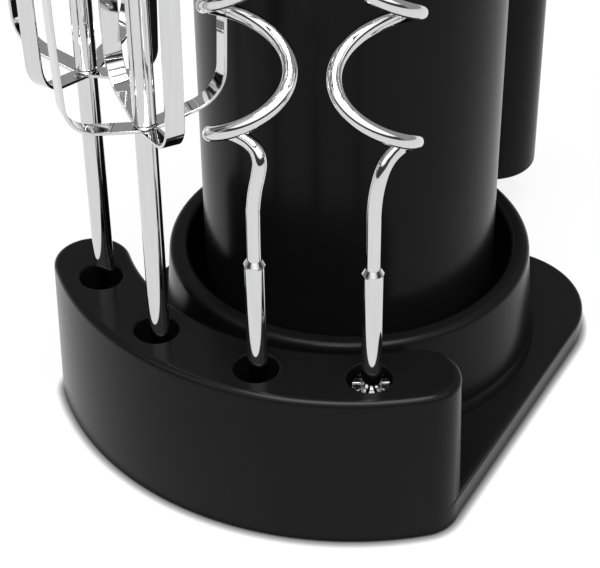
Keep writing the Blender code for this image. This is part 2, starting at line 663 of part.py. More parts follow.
def build_gearbox(axis):
    z = SPINDLE_Z / MM
    block = box_mesh("gear_frame", [((-33, -26, 158), (33, 14, 197))])
    frame = place("gear_frame", block, GREY, axis)
    room = box_mesh("gear_room", [((-40, -23, 161.5), (40, 11, 210))])
    cut(frame, place("gear_room", room, None, axis))
    legs = [((24.2, -5, 118.3), (28.5, 5, 159)), ((-28.5, -5, 118.3), (-24.2, 5, 159))]
    fuse(frame, place("frame_legs", box_mesh("frame_legs", legs), None, axis))
    seats = [((x, -30, z), (x, 20, z), 5.9) for x in (-22, 22)]
    seats.append(((0, 0, 150), (0, 0, 165), 5.3))
    cut(frame, place("frame_seats", rod_mesh("frame_seats", seats), None, axis))


def build_spindle(spindle, side):
    """One worm wheel and its spindle. Local Z points out of the socket."""
    tip = WHEEL_PITCH_RADIUS + TOOTH_TIP
    root = WHEEL_PITCH_RADIUS - TOOTH_ROOT_WHEEL
    tooth = 2 * math.pi / WHEEL_TEETH
    lead_slope = WORM_STARTS * TOOTH_PITCH / (2 * math.pi * WORM_PITCH_RADIUS)
    half_width = 4.0 * MM

    def outline(z):
        twist = lead_slope * z / WHEEL_PITCH_RADIUS
        points = []
        for i in range(WHEEL_TEETH):
            middle = (i + 0.5) * tooth + twist
            corners = [(root, -TOOTH_HALF_ROOT), (tip, -TOOTH_HALF_TIP)]
            corners += [(tip, TOOTH_HALF_TIP), (root, TOOTH_HALF_ROOT)]
            for radius, share in corners:
                angle = middle + share * tooth
                points.append((radius * math.cos(angle), radius * math.sin(angle), z))
        return points

    name = f"worm_wheel_{side}"
    layers = [outline(z) for z in (-half_width, half_width)]
    wheel = place(name, loft_mesh(name, layers), NYLON, spindle)
    bore = rod_mesh(f"{name}_bore", [((0, 0, -6), (0, 0, 6), 5.9)])
    cut(wheel, place(f"{name}_bore", bore, None, spindle))
    name = f"spindle_{side}"
    outer, inner = SPINDLE_RADIUS / MM, SPINDLE_BORE / MM
    tube = [(outer, 44.0), (outer, -15.5), (inner, -15.5), (inner, 44.0)]
    made = turned(name, tube, STEEL, spindle, 16)
    key = box_mesh(f"{name}_key", [((-4.75, -0.85, 30), (4.75, 0.85, 50))])
    cut(made, place(f"{name}_key", key, None, spindle))


def cage_line(top):
    """One side of a beater loop, from the shaft out and up to the apex, as (radius, height)."""
    start = 3.4 * MM
    middle = CAGE_WAIST - CAGE_BEND
    waist = HUB_HEIGHT + ARM_RISE + CAGE_BEND
    slope = math.atan2(ARM_RISE, middle - start)
    shoulder = (CAGE_RADIUS, top - 34 * MM)
    line = [(start, HUB_HEIGHT)]
    line += arc(middle, waist, CAGE_BEND, slope - math.pi / 2, 0.0, 5)[:-1]
    above = (CAGE_RADIUS - 0.4 * MM, waist + 13 * MM)
    line += bezier((CAGE_WAIST, waist), above, (CAGE_RADIUS, top - 45 * MM), shoulder, 2)
    line += bezier(shoulder, (CAGE_RADIUS, top - 12 * MM), (13 * MM, top), (0.0, top), 6)
    return [*line, (0.0, top)]


def build_beater(number, beater):
    """Shaft, sleeve and two loops that cross at the apex."""
    step = HUB_HEIGHT / MM
    stem, foot = SHAFT_RADIUS / MM, SHAFT_FOOT / MM
    lugs = box_mesh(f"beater_{number}_lugs", [((-4.5, -0.7, 13), (4.5, 0.7, 19))])
    core = [(0, 206.0), (1.7, 206.0), (2.0, 205.6), (2.0, step + 0.8), (stem, step + 0.3)]
    core += [(stem, foot + 3.0), (stem - 0.75, foot), (0, foot)]
    shaft = turned(f"beater_{number}_shaft", core, CHROME, beater, 12)
    fuse(shaft, place(f"beater_{number}_lugs", lugs, None, beater))
    sleeve = [(3.1, 199.0), (3.1, step + 1.1), (2.3, step + 1.1), (2.3, 199.0)]
    turned(f"beater_{number}_sleeve", sleeve, CHROME, beater, 12)
    for letter, top, turn in (("a", CAGE_TOP, 0.0), ("b", CAGE_TOP + LOOP_STEP, math.pi / 2)):
        line = cage_line(top)
        line = [(-r, z) for r, z in line[:-1]] + [(r, z) for r, z in reversed(line)]
        sides = ([], [])
        for before, here, after in zip([line[0], *line], line, [*line[1:], line[-1]]):
            along = Vector((after[0] - before[0], after[1] - before[1])).normalized()
            across = Vector((-along.y, along.x)) * STRIP_THICKNESS / 2
            sides[0].append(Vector(here) + across)
            sides[1].append(Vector(here) - across)
        data = bpy.data.curves.new(f"beater_{number}_loop_{letter}", "CURVE")
        data.dimensions = "2D"
        data.fill_mode = "BOTH"
        data.extrude = STRIP_WIDTH / 2
        outline = sides[0] + sides[1][::-1]
        spline = data.splines.new("POLY")
        spline.points.add(len(outline) - 1)
        for point, spot in zip(spline.points, outline):
            point.co = (spot.x, spot.y, 0.0, 1.0)
        spline.use_cyclic_u = True
        upright = (math.pi / 2, 0.0, turn)
        place(f"beater_{number}_loop_{letter}", data, CHROME, beater, rotation=upright)


# From the straight shank into the spiral, in millimetres; the left hook swings out first
LEFT_BEND = [(0, 0, 60.3), (0, 0, 98), (0.2, 0, 104), (0.8, 0, 109), (1.6, 0.1, 113.2)]
LEFT_BEND += [(2.1, 0.7, 117), (1.3, 2.1, 119.8), (-0.9, 3.7, 121.5), (-4.0, 4.5, 122.9)]
LEFT_BEND += [(-7.4, 3.9, 124.3)]
RIGHT_BEND = [(0, 0, 60.3), (0, 0, 98), (0, 0, 104), (-0.3, 0.1, 109), (-1.0, 0.4, 113.4)]
RIGHT_BEND += [(-2.1, 1.1, 117.2), (-3.6, 2.0, 119.9), (-5.4, 2.6, 121.9), (-7.3, 2.7, 123.5)]
RIGHT_BEND += [(-9.0, 1.9, 124.9)]


def hook_route(bend):
    """Up the shank, through the bend, round the spiral and in towards the axis at the tip."""
    route = smooth([Vector(p) * MM for p in bend], 2)
    steps = round(HOOK_TURNS * 12)
    for i in range(steps + 1):
        angle = -math.pi + 2 * math.pi * HOOK_TURNS * i / steps
        z = HOOK_START_Z + HOOK_PITCH * HOOK_TURNS * i / steps
        route.append(Vector((HOOK_RADIUS * math.cos(angle), HOOK_RADIUS * math.sin(angle), z)))
    last = route[-1].z
    for i in range(1, 6):
        angle = -math.pi + math.radians(26) * i
        radius = HOOK_RADIUS * (1 - 0.13 * i)
        z = last + 2.6 * MM * i - 0.16 * MM * i * i
        route.append(Vector((radius * math.cos(angle), radius * math.sin(angle), z)))
    return route


def build_hook(side, hook):
    mirror = -1.0 if side == "right" else 1.0
    bend = RIGHT_BEND if side == "right" else LEFT_BEND
    route = [(mirror * p.x, p.y, p.z) for p in hook_route(bend)]
    wire(f"hook_{side}_spiral", route, HOOK_ROD, CHROME, hook)
    stem, foot = HOOK_SHANK / MM, SHAFT_FOOT / MM
    shank = [(0, 60.0), (2.25, 60.0), (2.25, 87.6), (2.45, 87.9), (3.0, 86.8), (3.0, 86.0)]
    shank += [(stem, 85.5), (stem, foot + 3.0), (stem - 0.7, foot), (0, foot)]
    made = turned(f"hook_{side}_shank", shank, CHROME, hook, 12)
    lugs = box_mesh(f"hook_{side}_lugs", [((-4.5, -0.7, 13), (4.5, 0.7, 19))])
    fuse(made, place(f"hook_{side}_lugs", lugs, None, hook))


def build_crown(hook):
    """The toothed ring that marks which hook goes in which socket."""
    wall = [(4.9, 47.5), (4.9, 42.0), (3.0, 42.0), (3.0, 47.5)]
    ring = turned("hook_crown", wall, CHROME, hook, 15)
    notches = box_mesh("crown_notches", [])
    bm = bmesh.new()
    for i in range(5):
        turn = Matrix.Rotation(math.pi * i / 5, 4, "Z")
        shape = Matrix.Translation((0, 0, 47.5 * MM)) @ Matrix.Diagonal(
            (14 * MM, 1.3 * MM, 4.4 * MM, 1.0)
        )
        bmesh.ops.create_cube(bm, size=1.0, matrix=turn @ shape)
    bm.to_mesh(notches)
    bm.free()
    cut(ring, place("crown_notches", notches, None, hook))


axis = empty("mixer_axis", (0.0, AXIS_Y, 0.0))
build_stand(axis)
build_body(axis)
build_handle(axis)
build_controls(axis)
build_motor(axis)
build_gearbox(axis)
build_rotor(empty("rotor_axis", (0, 0, 0), 0.0, axis))
for side, x in (("left", -SPINDLE_X), ("right", SPINDLE_X)):
    spindle = empty(f"spindle_axis_{side}", (x, 0.0, SPINDLE_Z), 0.0, axis)
    spindle.rotation_euler = (math.pi / 2, 0.0, 0.0)
    build_spindle(spindle, side)
for number, (angle, play, turn) in enumerate(zip(HOLE_ANGLES, BEATER_PLAY, BEATER_TURNS), 1):
    build_beater(number, empty(f"beater_{number}_axis", on_rack(angle) + play, turn, axis))
for side, angle in zip(("left", "right"), HOLE_ANGLES[2:]):
    hook = empty(f"hook_{side}_axis", on_rack(angle) + HOOK_PLAY, HOOK_TURN, axis)
    build_hook(side, hook)
    if side == "right":
        build_crown(hook)
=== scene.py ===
"""Looks of a tower hand mixer on its storage stand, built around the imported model.

+Z is up, the rack faces -Y and the grip is on the +Y side. Lengths are metres, written as a number
of millimetres times MM, but profiles, boxes and rods are given in plain millimetres. Positions on
the mixer and the stand count from the mixer's own axis, and those on the grip from the grip's.
"""

import math

import bmesh
import bpy
from mathutils import Matrix, Vector


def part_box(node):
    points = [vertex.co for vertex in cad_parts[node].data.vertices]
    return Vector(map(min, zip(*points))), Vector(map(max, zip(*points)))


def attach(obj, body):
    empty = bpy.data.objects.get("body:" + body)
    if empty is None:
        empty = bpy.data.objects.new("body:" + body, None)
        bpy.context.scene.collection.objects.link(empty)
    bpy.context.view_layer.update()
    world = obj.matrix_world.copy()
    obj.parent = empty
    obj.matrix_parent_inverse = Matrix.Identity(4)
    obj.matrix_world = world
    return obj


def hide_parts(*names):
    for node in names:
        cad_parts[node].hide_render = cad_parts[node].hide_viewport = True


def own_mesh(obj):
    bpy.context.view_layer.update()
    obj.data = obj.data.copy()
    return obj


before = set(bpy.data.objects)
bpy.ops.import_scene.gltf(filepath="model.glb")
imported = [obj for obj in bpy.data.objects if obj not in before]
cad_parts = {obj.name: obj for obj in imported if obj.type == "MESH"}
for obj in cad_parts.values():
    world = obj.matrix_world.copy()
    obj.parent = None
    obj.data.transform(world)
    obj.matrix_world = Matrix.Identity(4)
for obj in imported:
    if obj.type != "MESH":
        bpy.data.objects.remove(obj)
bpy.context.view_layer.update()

MM = 0.001


def middle(node):
    low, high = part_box(node)
    return (low + high) / 2


def ground_spot(node):
    """The point of the ground plane under a node's middle."""
    spot = middle(node)
    return Vector((spot.x, spot.y, 0.0))


AXIS = Vector((0.0, middle("body_tube").y, 0.0))
GRIP = Vector((0.0, middle("handle_end_plug").y, 0.0))
SPINDLE_Z = middle("worm_wheel_left").z
SPINDLE_X = middle("worm_wheel_right").x

# Stand. The rack's flank leans: it is RACK_DRAFT wider at its foot and RACK_TOP_DRAFT at its top
RACK_RADIUS = 81.0 * MM
RACK_HALF_WIDTH = 11.5 * MM
RACK_DRAFT = 1.3 * MM
RACK_TOP_DRAFT = 0.05 * MM
RACK_LEFT_END = math.radians(-41.7)
RACK_RIGHT_END = math.radians(44.6)
RACK_TOP = 50.4 * MM
RACK_FILLET = 2.2 * MM
BASE_BOTTOM = 0.8 * MM
PLATE_TOP = 9.3 * MM
PLATE_FILLET = 1.6 * MM
STAND_WALL = 2.6 * MM
HOLLOW_BOTTOM = -2.0 * MM
HOLE_RADIUS = 6.35 * MM
HOLE_ANGLES = [math.radians(a) for a in (-34.5, -12.0, 12.0, 34.5)]

# The plate's front corners touch FRONT_RADIUS, and its front arc is further in, inside the rack
FRONT_RADIUS = 93.2 * MM
FRONT_SKIN = 92.4 * MM
SIDE_X = 69.7 * MM
LEFT_CORNER = 30.0 * MM
RIGHT_CORNER = 11.5 * MM
REAR_CORNER = 30.0 * MM
REAR_CORNER_X = 35.0 * MM
REAR_CORNER_Y = 32.0 * MM
CORNER_NUMBERS = range(1, 5)

# Mixer, in millimetres. A space is what is cut away round a neighbour, so that they don't touch
BODY_RADIUS = 45.0
BODY_BORE = 42.6
BODY_SPACE = 45.15
SPIGOT_RADIUS = 42.2
SPIGOT_BORE = 39.8
BODY_SIDES = 160
BRIDGE_ENDS = (36.0, 92.0)
GRIP_RADIUS = 16.4
GRIP_BORE = 14.2
GRIP_SPACE = 16.55
GRIP_SPLIT = 0.04
SLIDER_TRAVEL = 18.0
SCALE_MARKS = 5

# Turns that lay a lathed shape's axis down, its upper end to the front or to the back
TOWARD_FRONT = (math.pi / 2, 0.0, 0.0)
TOWARD_BACK = (-math.pi / 2, 0.0, 0.0)

# Attachments
BEATER_TURNS = [math.radians(2.0), math.radians(57.0)]
HUB_HEIGHT = 119.3 * MM
CAGE_RADIUS = 23.3 * MM
CAGE_WAIST = 22.3 * MM
CAGE_BEND = 10.5 * MM
ARM_RISE = 2.0 * MM
CAGE_TOP = 207.2 * MM
LOOP_STEP = 2.0 * MM
STRIP_WIDTH = 5.2 * MM
STRIP_THICKNESS = 0.9 * MM
STRIP_CORNER = 0.22 * MM
HOOK_TURN = math.radians(32.2)
HOOK_ROD = 1.95 * MM
HOOK_RADIUS = 10.3 * MM
HOOK_PITCH = 36.0 * MM
HOOK_START_Z = 126.4 * MM
HOOK_TURNS = 2.0
HOOK_TURN_STEPS = 48
LUGS = [((-4.5, -0.7, 13), (4.5, 0.7, 19))]
CROWN_NOTCHES = 5

# A hook's tip is TIP_LENGTH parts long. In each it turns, draws in and rises by this much
TIP_LENGTH = 5
TIP_STEPS = 4
TIP_TURN = math.radians(26)
TIP_CLOSING = 0.13
TIP_RISE = 2.6 * MM
TIP_SAG = 0.16 * MM

# Ejector's return spring
SPRING_WIRE = 0.45 * MM
SPRING_TURNS = 4

# Widest step along a fillet's arc, and the angle from which an edge is shaded sharp
FILLET_STEP = math.radians(11)
SHARP_ANGLE = math.radians(38)


# ---------------------------------------------------------------- materials


NOISE_LOW, NOISE_HIGH = 0.3, 0.7


def node_material(name, color, roughness, metallic=0.0, **sockets):
    """A material, its node tree and its Principled shader."""
    made = bpy.data.materials.new(name)
    made.use_nodes = True
    tree = made.node_tree
    shader = tree.nodes["Principled BSDF"]
    shader.inputs["Base Color"].default_value = (*color, 1.0)
    shader.inputs["Roughness"].default_value = roughness
    shader.inputs["Metallic"].default_value = metallic
    for socket, value in sockets.items():
        shader.inputs[socket.replace("_", " ")].default_value = value
    return made, tree, shader


def add_node(tree, kind, inputs=None, **settings):
    """A new node with its settings, each input either wired to a socket or set to a value."""
    node = tree.nodes.new(kind)
    for name, value in settings.items():
        setattr(node, name, value)
    for name, value in (inputs or {}).items():
        if isinstance(value, bpy.types.NodeSocket):
            tree.links.new(value, node.inputs[name])
        else:
            node.inputs[name].default_value = value
    return node


def coordinates(tree, stretch=(1.0, 1.0, 1.0)):
    where = add_node(tree, "ShaderNodeTexCoord").outputs["Object"]
    mapping = add_node(tree, "ShaderNodeMapping", {"Vector": where, "Scale": stretch})
    return mapping.outputs["Vector"]


def noise_of(tree, vector, scale, detail):
    node = add_node(
        tree, "ShaderNodeTexNoise", {"Vector": vector, "Scale": scale, "Detail": detail}
    )
    return node.outputs["Fac"]


def ramp(tree, value, source, target):
    """Maps the value from one range onto another, and stops at both ends."""
    inputs = {"Value": value, "From Min": source[0], "From Max": source[1]}
    inputs |= {"To Min": target[0], "To Max": target[1]}
    return add_node(tree, "ShaderNodeMapRange", inputs).outputs["Result"]


def spread(tree, value, low, high):
    """Maps a noise's middle range onto low to high."""
    return ramp(tree, value, (NOISE_LOW, NOISE_HIGH), (low, high))


def tinted(tree, value, dark, light):
    """Runs from dark to light over a noise's middle range."""
    node = add_node(tree, "ShaderNodeValToRGB", {"Fac": value})
    first, last = node.color_ramp.elements
    first.color, first.position = (*dark, 1.0), NOISE_LOW
    last.color, last.position = (*light, 1.0), NOISE_HIGH
    return node.outputs["Color"]


def bump(tree, height, strength, distance):
    node = add_node(
        tree, "ShaderNodeBump", {"Height": height, "Strength": strength, "Distance": distance}
    )
    return node.outputs["Normal"]


def moulded(name, color, roughness, grain, specular):
    """Injection-moulded plastic, with a faint grain and a sheen that varies a little."""
    made, tree, shader = node_material(name, color, roughness, Specular_IOR_Level=specular)
    where = coordinates(tree)
    broad = noise_of(tree, where, scale=18.0, detail=3.0)
    fine = noise_of(tree, where, scale=2600.0, detail=2.0)
    lighter = [c * 1.25 for c in color]
    tree.links.new(tinted(tree, broad, color, lighter), shader.inputs["Base Color"])
    tree.links.new(
        spread(tree, broad, roughness * 0.9, roughness * 1.12), shader.inputs["Roughness"]
    )
    grained = bump(tree, fine, strength=grain, distance=0.02 * MM)
    tree.links.new(grained, shader.inputs["Normal"])
    return made


def plated(name, color, roughness, along_z, streak):
    """Polished or drawn metal. The smaller along_z is, the longer its faint streaks are."""
    made, tree, shader = node_material(name, color, roughness, 1.0)
    where = coordinates(tree, (1.0, 1.0, along_z))
    streaks = noise_of(tree, where, scale=900.0, detail=3.0)
    cloud = noise_of(tree, coordinates(tree), scale=60.0, detail=2.0)
    tree.links.new(
        spread(tree, cloud, roughness * 0.8, roughness * 1.3), shader.inputs["Roughness"]
    )
    dull = [c * 0.94 for c in color]
    tree.links.new(tinted(tree, streaks, dull, color), shader.inputs["Base Color"])
    streaked = bump(tree, streaks, strength=streak, distance=0.01 * MM)
    tree.links.new(streaked, shader.inputs["Normal"])
    return made


def rubbery(name, color):
    """Soft, matt rubber with a coarse grain."""
    made, tree, shader = node_material(name, color, 0.8, Specular_IOR_Level=0.3)
    where = coordinates(tree)
    grain = noise_of(tree, where, scale=1500.0, detail=4.0)
    lighter = [c * 1.6 for c in color]
    tree.links.new(tinted(tree, grain, color, lighter), shader.inputs["Base Color"])
    grained = bump(tree, grain, strength=0.35, distance=0.05 * MM)
    tree.links.new(grained, shader.inputs["Normal"])
    return made


def wound(name, color, axis):
    """Enamelled wire wound in even turns, seen as fine ribs across the given axis."""
    made, tree, shader = node_material(name, color, 0.32, 0.9)
    where = coordinates(tree)
    turns = add_node(
        tree,
        "ShaderNodeTexWave",
        {"Vector": where, "Scale": 420.0, "Distortion": 0.6, "Detail": 1.0},
        bands_direction=axis,
    ).outputs["Fac"]
    dark = [c * 0.45 for c in color]
    tree.links.new(tinted(tree, turns, dark, color), shader.inputs["Base Color"])
    ribbed = bump(tree, turns, strength=0.7, distance=0.25 * MM)
    tree.links.new(ribbed, shader.inputs["Normal"])
    return made


def laminated(name, color):
    """A stack of thin pressed steel sheets."""
    made, tree, shader = node_material(name, color, 0.38, 1.0)
    where = coordinates(tree)
    sheets = add_node(
        tree,
        "ShaderNodeTexWave",
        {"Vector": where, "Scale": 320.0, "Distortion": 0.0},
        bands_direction="Z",
    ).outputs["Fac"]
    stain = noise_of(tree, where, scale=90.0, detail=4.0)
    dark = [c * 0.6 for c in color]
    tree.links.new(tinted(tree, sheets, dark, color), shader.inputs["Base Color"])
    tree.links.new(spread(tree, stain, 0.3, 0.5), shader.inputs["Roughness"])
    ridged = bump(tree, sheets, strength=0.5, distance=0.1 * MM)
    tree.links.new(ridged, shader.inputs["Normal"])
    return made


def circuit(name, color):
    """Green solder resist with lighter copper tracks under it."""
    made, tree, shader = node_material(name, color, 0.35)
    where = coordinates(tree)
    shades = {"Color1": 1.0, "Color2": 0.8, "Mortar": 1.9}
    colors = {socket: (*[c * shade for c in color], 1.0) for socket, shade in shades.items()}
    pattern = {"Vector": where, "Scale": 180.0, "Mortar Size": 0.02}
    tracks = add_node(tree, "ShaderNodeTexBrick", {**pattern, **colors})
    tree.links.new(tracks.outputs["Color"], shader.inputs["Base Color"])
    raised = bump(tree, tracks.outputs["Fac"], strength=0.3, distance=0.05 * MM)
    tree.links.new(raised, shader.inputs["Normal"])
    return made


DEEP_BLACK = (0.0034, 0.0034, 0.0036)

BLACK = moulded("black_satin", DEEP_BLACK, roughness=0.24, grain=0.10, specular=0.075)
BLACK_GLOSS = moulded("black_gloss", DEEP_BLACK, roughness=0.18, grain=0.04, specular=0.085)
GREY = moulded("grey_satin", (0.055, 0.056, 0.06), roughness=0.38, grain=0.22, specular=0.45)
RUBBER = rubbery("soft_rubber", (0.012, 0.012, 0.012))
CHROME = plated("chrome_plate", (0.64, 0.64, 0.645), roughness=0.045, along_z=0.08, streak=0.03)
STEEL = plated("drawn_steel", (0.50, 0.50, 0.52), roughness=0.28, along_z=0.03, streak=0.2)
COPPER = wound("enamelled_wire", (0.66, 0.27, 0.12), "Y")
BARS = plated("copper_bars", (0.72, 0.36, 0.20), roughness=0.25, along_z=0.05, streak=0.15)
BRONZE = plated("sintered_bronze", (0.48, 0.31, 0.14), roughness=0.42, along_z=1.0, streak=0.5)
NYLON = moulded("natural_nylon", (0.66, 0.63, 0.54), roughness=0.42, grain=0.25, specular=0.5)
CARBON = moulded("pressed_carbon", (0.02, 0.02, 0.022), roughness=0.62, grain=0.6, specular=0.4)
SHEETS = laminated("steel_sheets", (0.36, 0.36, 0.38))
BOARD = circuit("board_green", (0.02, 0.10, 0.04))
MARKS = moulded("pale_print", (0.55, 0.55, 0.55), roughness=0.5, grain=0.1, specular=0.4)


# ---------------------------------------------------------------- shapes


def arc(cx, cy, radius, start, end, steps):
    """Points along an arc, both ends included."""
    angles = [start + (end - start) * i / steps for i in range(steps + 1)]
    return [(cx + radius * math.cos(a), cy + radius * math.sin(a)) for a in angles]


def rounded_rectangle(half_x, half_y, corner, steps):
    """Outline of a rectangle about its middle, with an arc of so many steps at each corner."""
    x, y = half_x - corner, half_y - corner
    quarter = math.pi / 2
    outline = []
    for turn, (cx, cy) in enumerate([(x, y), (-x, y), (-x, -y), (x, -y)]):
        outline += arc(cx, cy, corner, turn * quarter, (turn + 1) * quarter, steps)
    return outline


def rounded(corners):
    """A closed outline through corners (x, y, fillet) in millimetres, each fillet an arc."""
    outline = []
    count = len(corners)
    for i, (x, y, fillet) in enumerate(corners):
        here = Vector((x, y)) * MM
        if fillet == 0:
            outline.append(tuple(here))
            continue
        before = Vector(corners[i - 1][:2]) * MM
        after = Vector(corners[(i + 1) % count][:2]) * MM
        inward, outward = (before - here).normalized(), (after - here).normalized()
        corner = inward.angle(outward)
        reach = fillet * MM / math.tan(corner / 2)
        hub = here + (inward + outward).normalized() * fillet * MM / math.sin(corner / 2)
        start, end = here + inward * reach - hub, here + outward * reach - hub
        turn = start.angle_signed(end)
        steps = max(2, math.ceil(abs(turn) / FILLET_STEP))
        for k in range(steps + 1):
            spot = start.copy()
            spot.rotate(Matrix.Rotation(-turn * k / steps, 2))
            outline.append(tuple(hub + spot))
    return outline


def mesh_of(name, build):
    """A mesh made by build(bm), with its faces turned outwards."""
    bm = bmesh.new()
    build(bm)
    bmesh.ops.recalc_face_normals(bm, faces=bm.faces)
    data = bpy.data.meshes.new(name)
    bm.to_mesh(data)
    bm.free()
    return data


def lathe(name, profile, steps):
    """Turns a profile of (radius, height) about Z. Its ends lie on the axis, or it is closed."""

    def build(bm):
        turn = 2 * math.pi / steps
        rings = []
        for radius, height in profile:
            if radius < 1e-9:
                rings.append([bm.verts.new((0.0, 0.0, height))])
                continue
            around = [(math.cos(turn * i), math.sin(turn * i)) for i in range(steps)]
            rings.append([bm.verts.new((radius * x, radius * y, height)) for x, y in around])
        pairs = list(zip(rings, rings[1:]))
        if len(rings[0]) > 1:
            pairs.append((rings[-1], rings[0]))
        for a, b in pairs:
            for i in range(steps):
                j = (i + 1) % steps
                if len(a) == 1:
                    bm.faces.new((a[0], b[i], b[j]))
                elif len(b) == 1:
                    bm.faces.new((a[i], b[0], a[j]))
                else:
                    bm.faces.new((a[i], b[i], b[j], a[j]))

    return mesh_of(name, build)


def loft(name, layers):
    """A closed skin over rings of equal length."""

    def build(bm):
        rings = [[bm.verts.new(point) for point in layer] for layer in layers]
        count = len(rings[0])
        for low, high in zip(rings, rings[1:]):
            for i in range(count):
                j = (i + 1) % count
                bm.faces.new((low[i], low[j], high[j], high[i]))
        bm.faces.new(rings[0])
        bm.faces.new(rings[-1])

    return mesh_of(name, build)


def blocks(name, boxes, bevel=0.0):
    """Boxes given by their low and high corners in millimetres, with rounded edges."""

    def build(bm):
        for low, high in boxes:
            size = [(b - a) * MM for a, b in zip(low, high)]
            centre = [(a + b) / 2 * MM for a, b in zip(low, high)]
            matrix = Matrix.Translation(centre) @ Matrix.Diagonal((*size, 1.0))
            bmesh.ops.create_cube(bm, size=1.0, matrix=matrix)
        if bevel:
            bmesh.ops.bevel(
                bm,
                geom=bm.edges[:],
                offset=bevel * MM,
                segments=4,
                profile=0.5,
                affect="EDGES",
            )

    return mesh_of(name, build)


def rods(name, ends, segments=64):
    """Cylinders given by their two end points and their radius in millimetres."""

    def build(bm):
        for start, end, radius in ends:
            start, end = Vector(start) * MM, Vector(end) * MM
            turn = Vector((0, 0, 1)).rotation_difference(end - start).to_matrix().to_4x4()
            bmesh.ops.create_cone(
                bm,
                cap_ends=True,
                segments=segments,
                radius1=radius * MM,
                radius2=radius * MM,
                depth=(end - start).length,
                matrix=Matrix.Translation((start + end) / 2) @ turn,
            )

    return mesh_of(name, build)


def repeated(name, data, spots):
    """One mesh holding a copy of the data at each spot."""

    def build(bm):
        for spot in spots:
            known = len(bm.verts)
            bm.from_mesh(data)
            bmesh.ops.translate(bm, vec=spot, verts=bm.verts[known:])
            bm.verts.ensure_lookup_table()

    return mesh_of(name, build)


def tube(name, points, radius, sides):
    """A round rod along points, with domed ends."""
    points = [Vector(p) for p in points]
    befores, afters = [points[0], *points], [*points[1:], points[-1]]
    tangents = [(after - before).normalized() for before, after in zip(befores, afters)]
    across = tangents[0].orthogonal().normalized()
    turn = 2 * math.pi / sides
    dome = [math.radians(a) for a in (80, 60, 40, 20)]
    layers = []

    def ring(centre, size):
        up = tangent.cross(across)
        around = [(math.cos(turn * i), math.sin(turn * i)) for i in range(sides)]
        return [centre + (across * x + up * y) * size for x, y in around]

    for index, (point, tangent) in enumerate(zip(points, tangents)):
        across = (across - tangent * across.dot(tangent)).normalized()
        if index == 0:
            for a in dome:
                layers.append(ring(point - tangent * radius * math.sin(a), radius * math.cos(a)))
        layers.append(ring(point, radius))
        if index == len(points) - 1:
            for a in reversed(dome):
                layers.append(ring(point + tangent * radius * math.sin(a), radius * math.cos(a)))
    return loft(name, layers)


def smooth_line(points, per_span):
    """Points along a Catmull-Rom curve through the given ones."""
    points = [Vector(p) for p in points]
    padded = [2 * points[0] - points[1], *points, 2 * points[-1] - points[-2]]
    route = []
    for a, b, c, d in zip(padded, padded[1:], padded[2:], padded[3:]):
        for i in range(per_span):
            t = i / per_span
            near = 2 * b + (c - a) * t
            far = (2 * a - 5 * b + 4 * c - d) * t**2 + (3 * b - 3 * c + d - a) * t**3
            route.append((near + far) / 2)
    return [*route, points[-1]]


def bezier(a, b, c, d, steps):
    """Points of one cubic span, its last point left out."""
    points = []
    for i in range(steps):
        t = i / steps
        u = 1 - t
        weights = (u**3, 3 * u * u * t, 3 * u * t * t, t**3)
        points.append(tuple(sum(w * p[k] for w, p in zip(weights, (a, b, c, d))) for k in (0, 1)))
    return points


def at_height(outline, z):
    """A flat outline as a ring of points at the height z."""
    return [(x, y, z) for x, y in outline]


# ---------------------------------------------------------------- pieces


def thing(data, location=(0, 0, 0), rotation=(0, 0, 0)):
    """Puts a mesh, a lamp or a camera into the scene."""
    made = bpy.data.objects.new(data.name, data)
    bpy.context.scene.collection.objects.link(made)
    made.location = location
    made.rotation_euler = rotation
    return made


def turned(name, corners, steps, location, rotation=(0, 0, 0)):
    """A lathed shape in its place, from its profile's corners (radius, height, fillet)."""
    return thing(lathe(name, rounded(corners), steps), location, rotation)


def carve(target, operation, *shapes):
    """Applies booleans to the target and removes their tools. A mesh lies where the target does."""
    place, turn = target.location, target.rotation_euler
    tools = [s if isinstance(s, bpy.types.Object) else thing(s, place, turn) for s in shapes]
    for tool in tools:
        step = target.modifiers.new(operation.title(), "BOOLEAN")
        step.operation = operation
        step.object = tool
        step.solver = "EXACT"
    bpy.context.view_layer.update()
    depsgraph = bpy.context.evaluated_depsgraph_get()
    data = bpy.data.meshes.new_from_object(target.evaluated_get(depsgraph))
    target.modifiers.clear()
    data.name = target.name
    target.data = data
    for tool in tools:
        bpy.data.objects.remove(tool, do_unlink=True)


def make(target, finish, body, *nodes):
    """Finishes and shades a shape, rides it on its body and has it replace its nodes."""
    data = target.data
    data.materials.clear()
    data.materials.append(finish)
    data.shade_smooth()
    data.set_sharp_from_angle(angle=SHARP_ANGLE)
    weighted = target.modifiers.new("Even shading", "WEIGHTED_NORMAL")
    weighted.keep_sharp = True
    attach(target, body)
    if nodes:
        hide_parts(*nodes)


def front_corner(radius):
    """Centre of a front corner's arc on the right, and the angles where it starts and ends."""
    x = SIDE_X - radius
    y = -math.sqrt((FRONT_RADIUS - radius) ** 2 - x**2)
    dx, dy = REAR_CORNER_X - x, REAR_CORNER_Y - y
    side = math.atan2(dy, dx) - math.acos((radius - REAR_CORNER) / math.hypot(dx, dy))
    return x, y, math.atan2(y, x), side


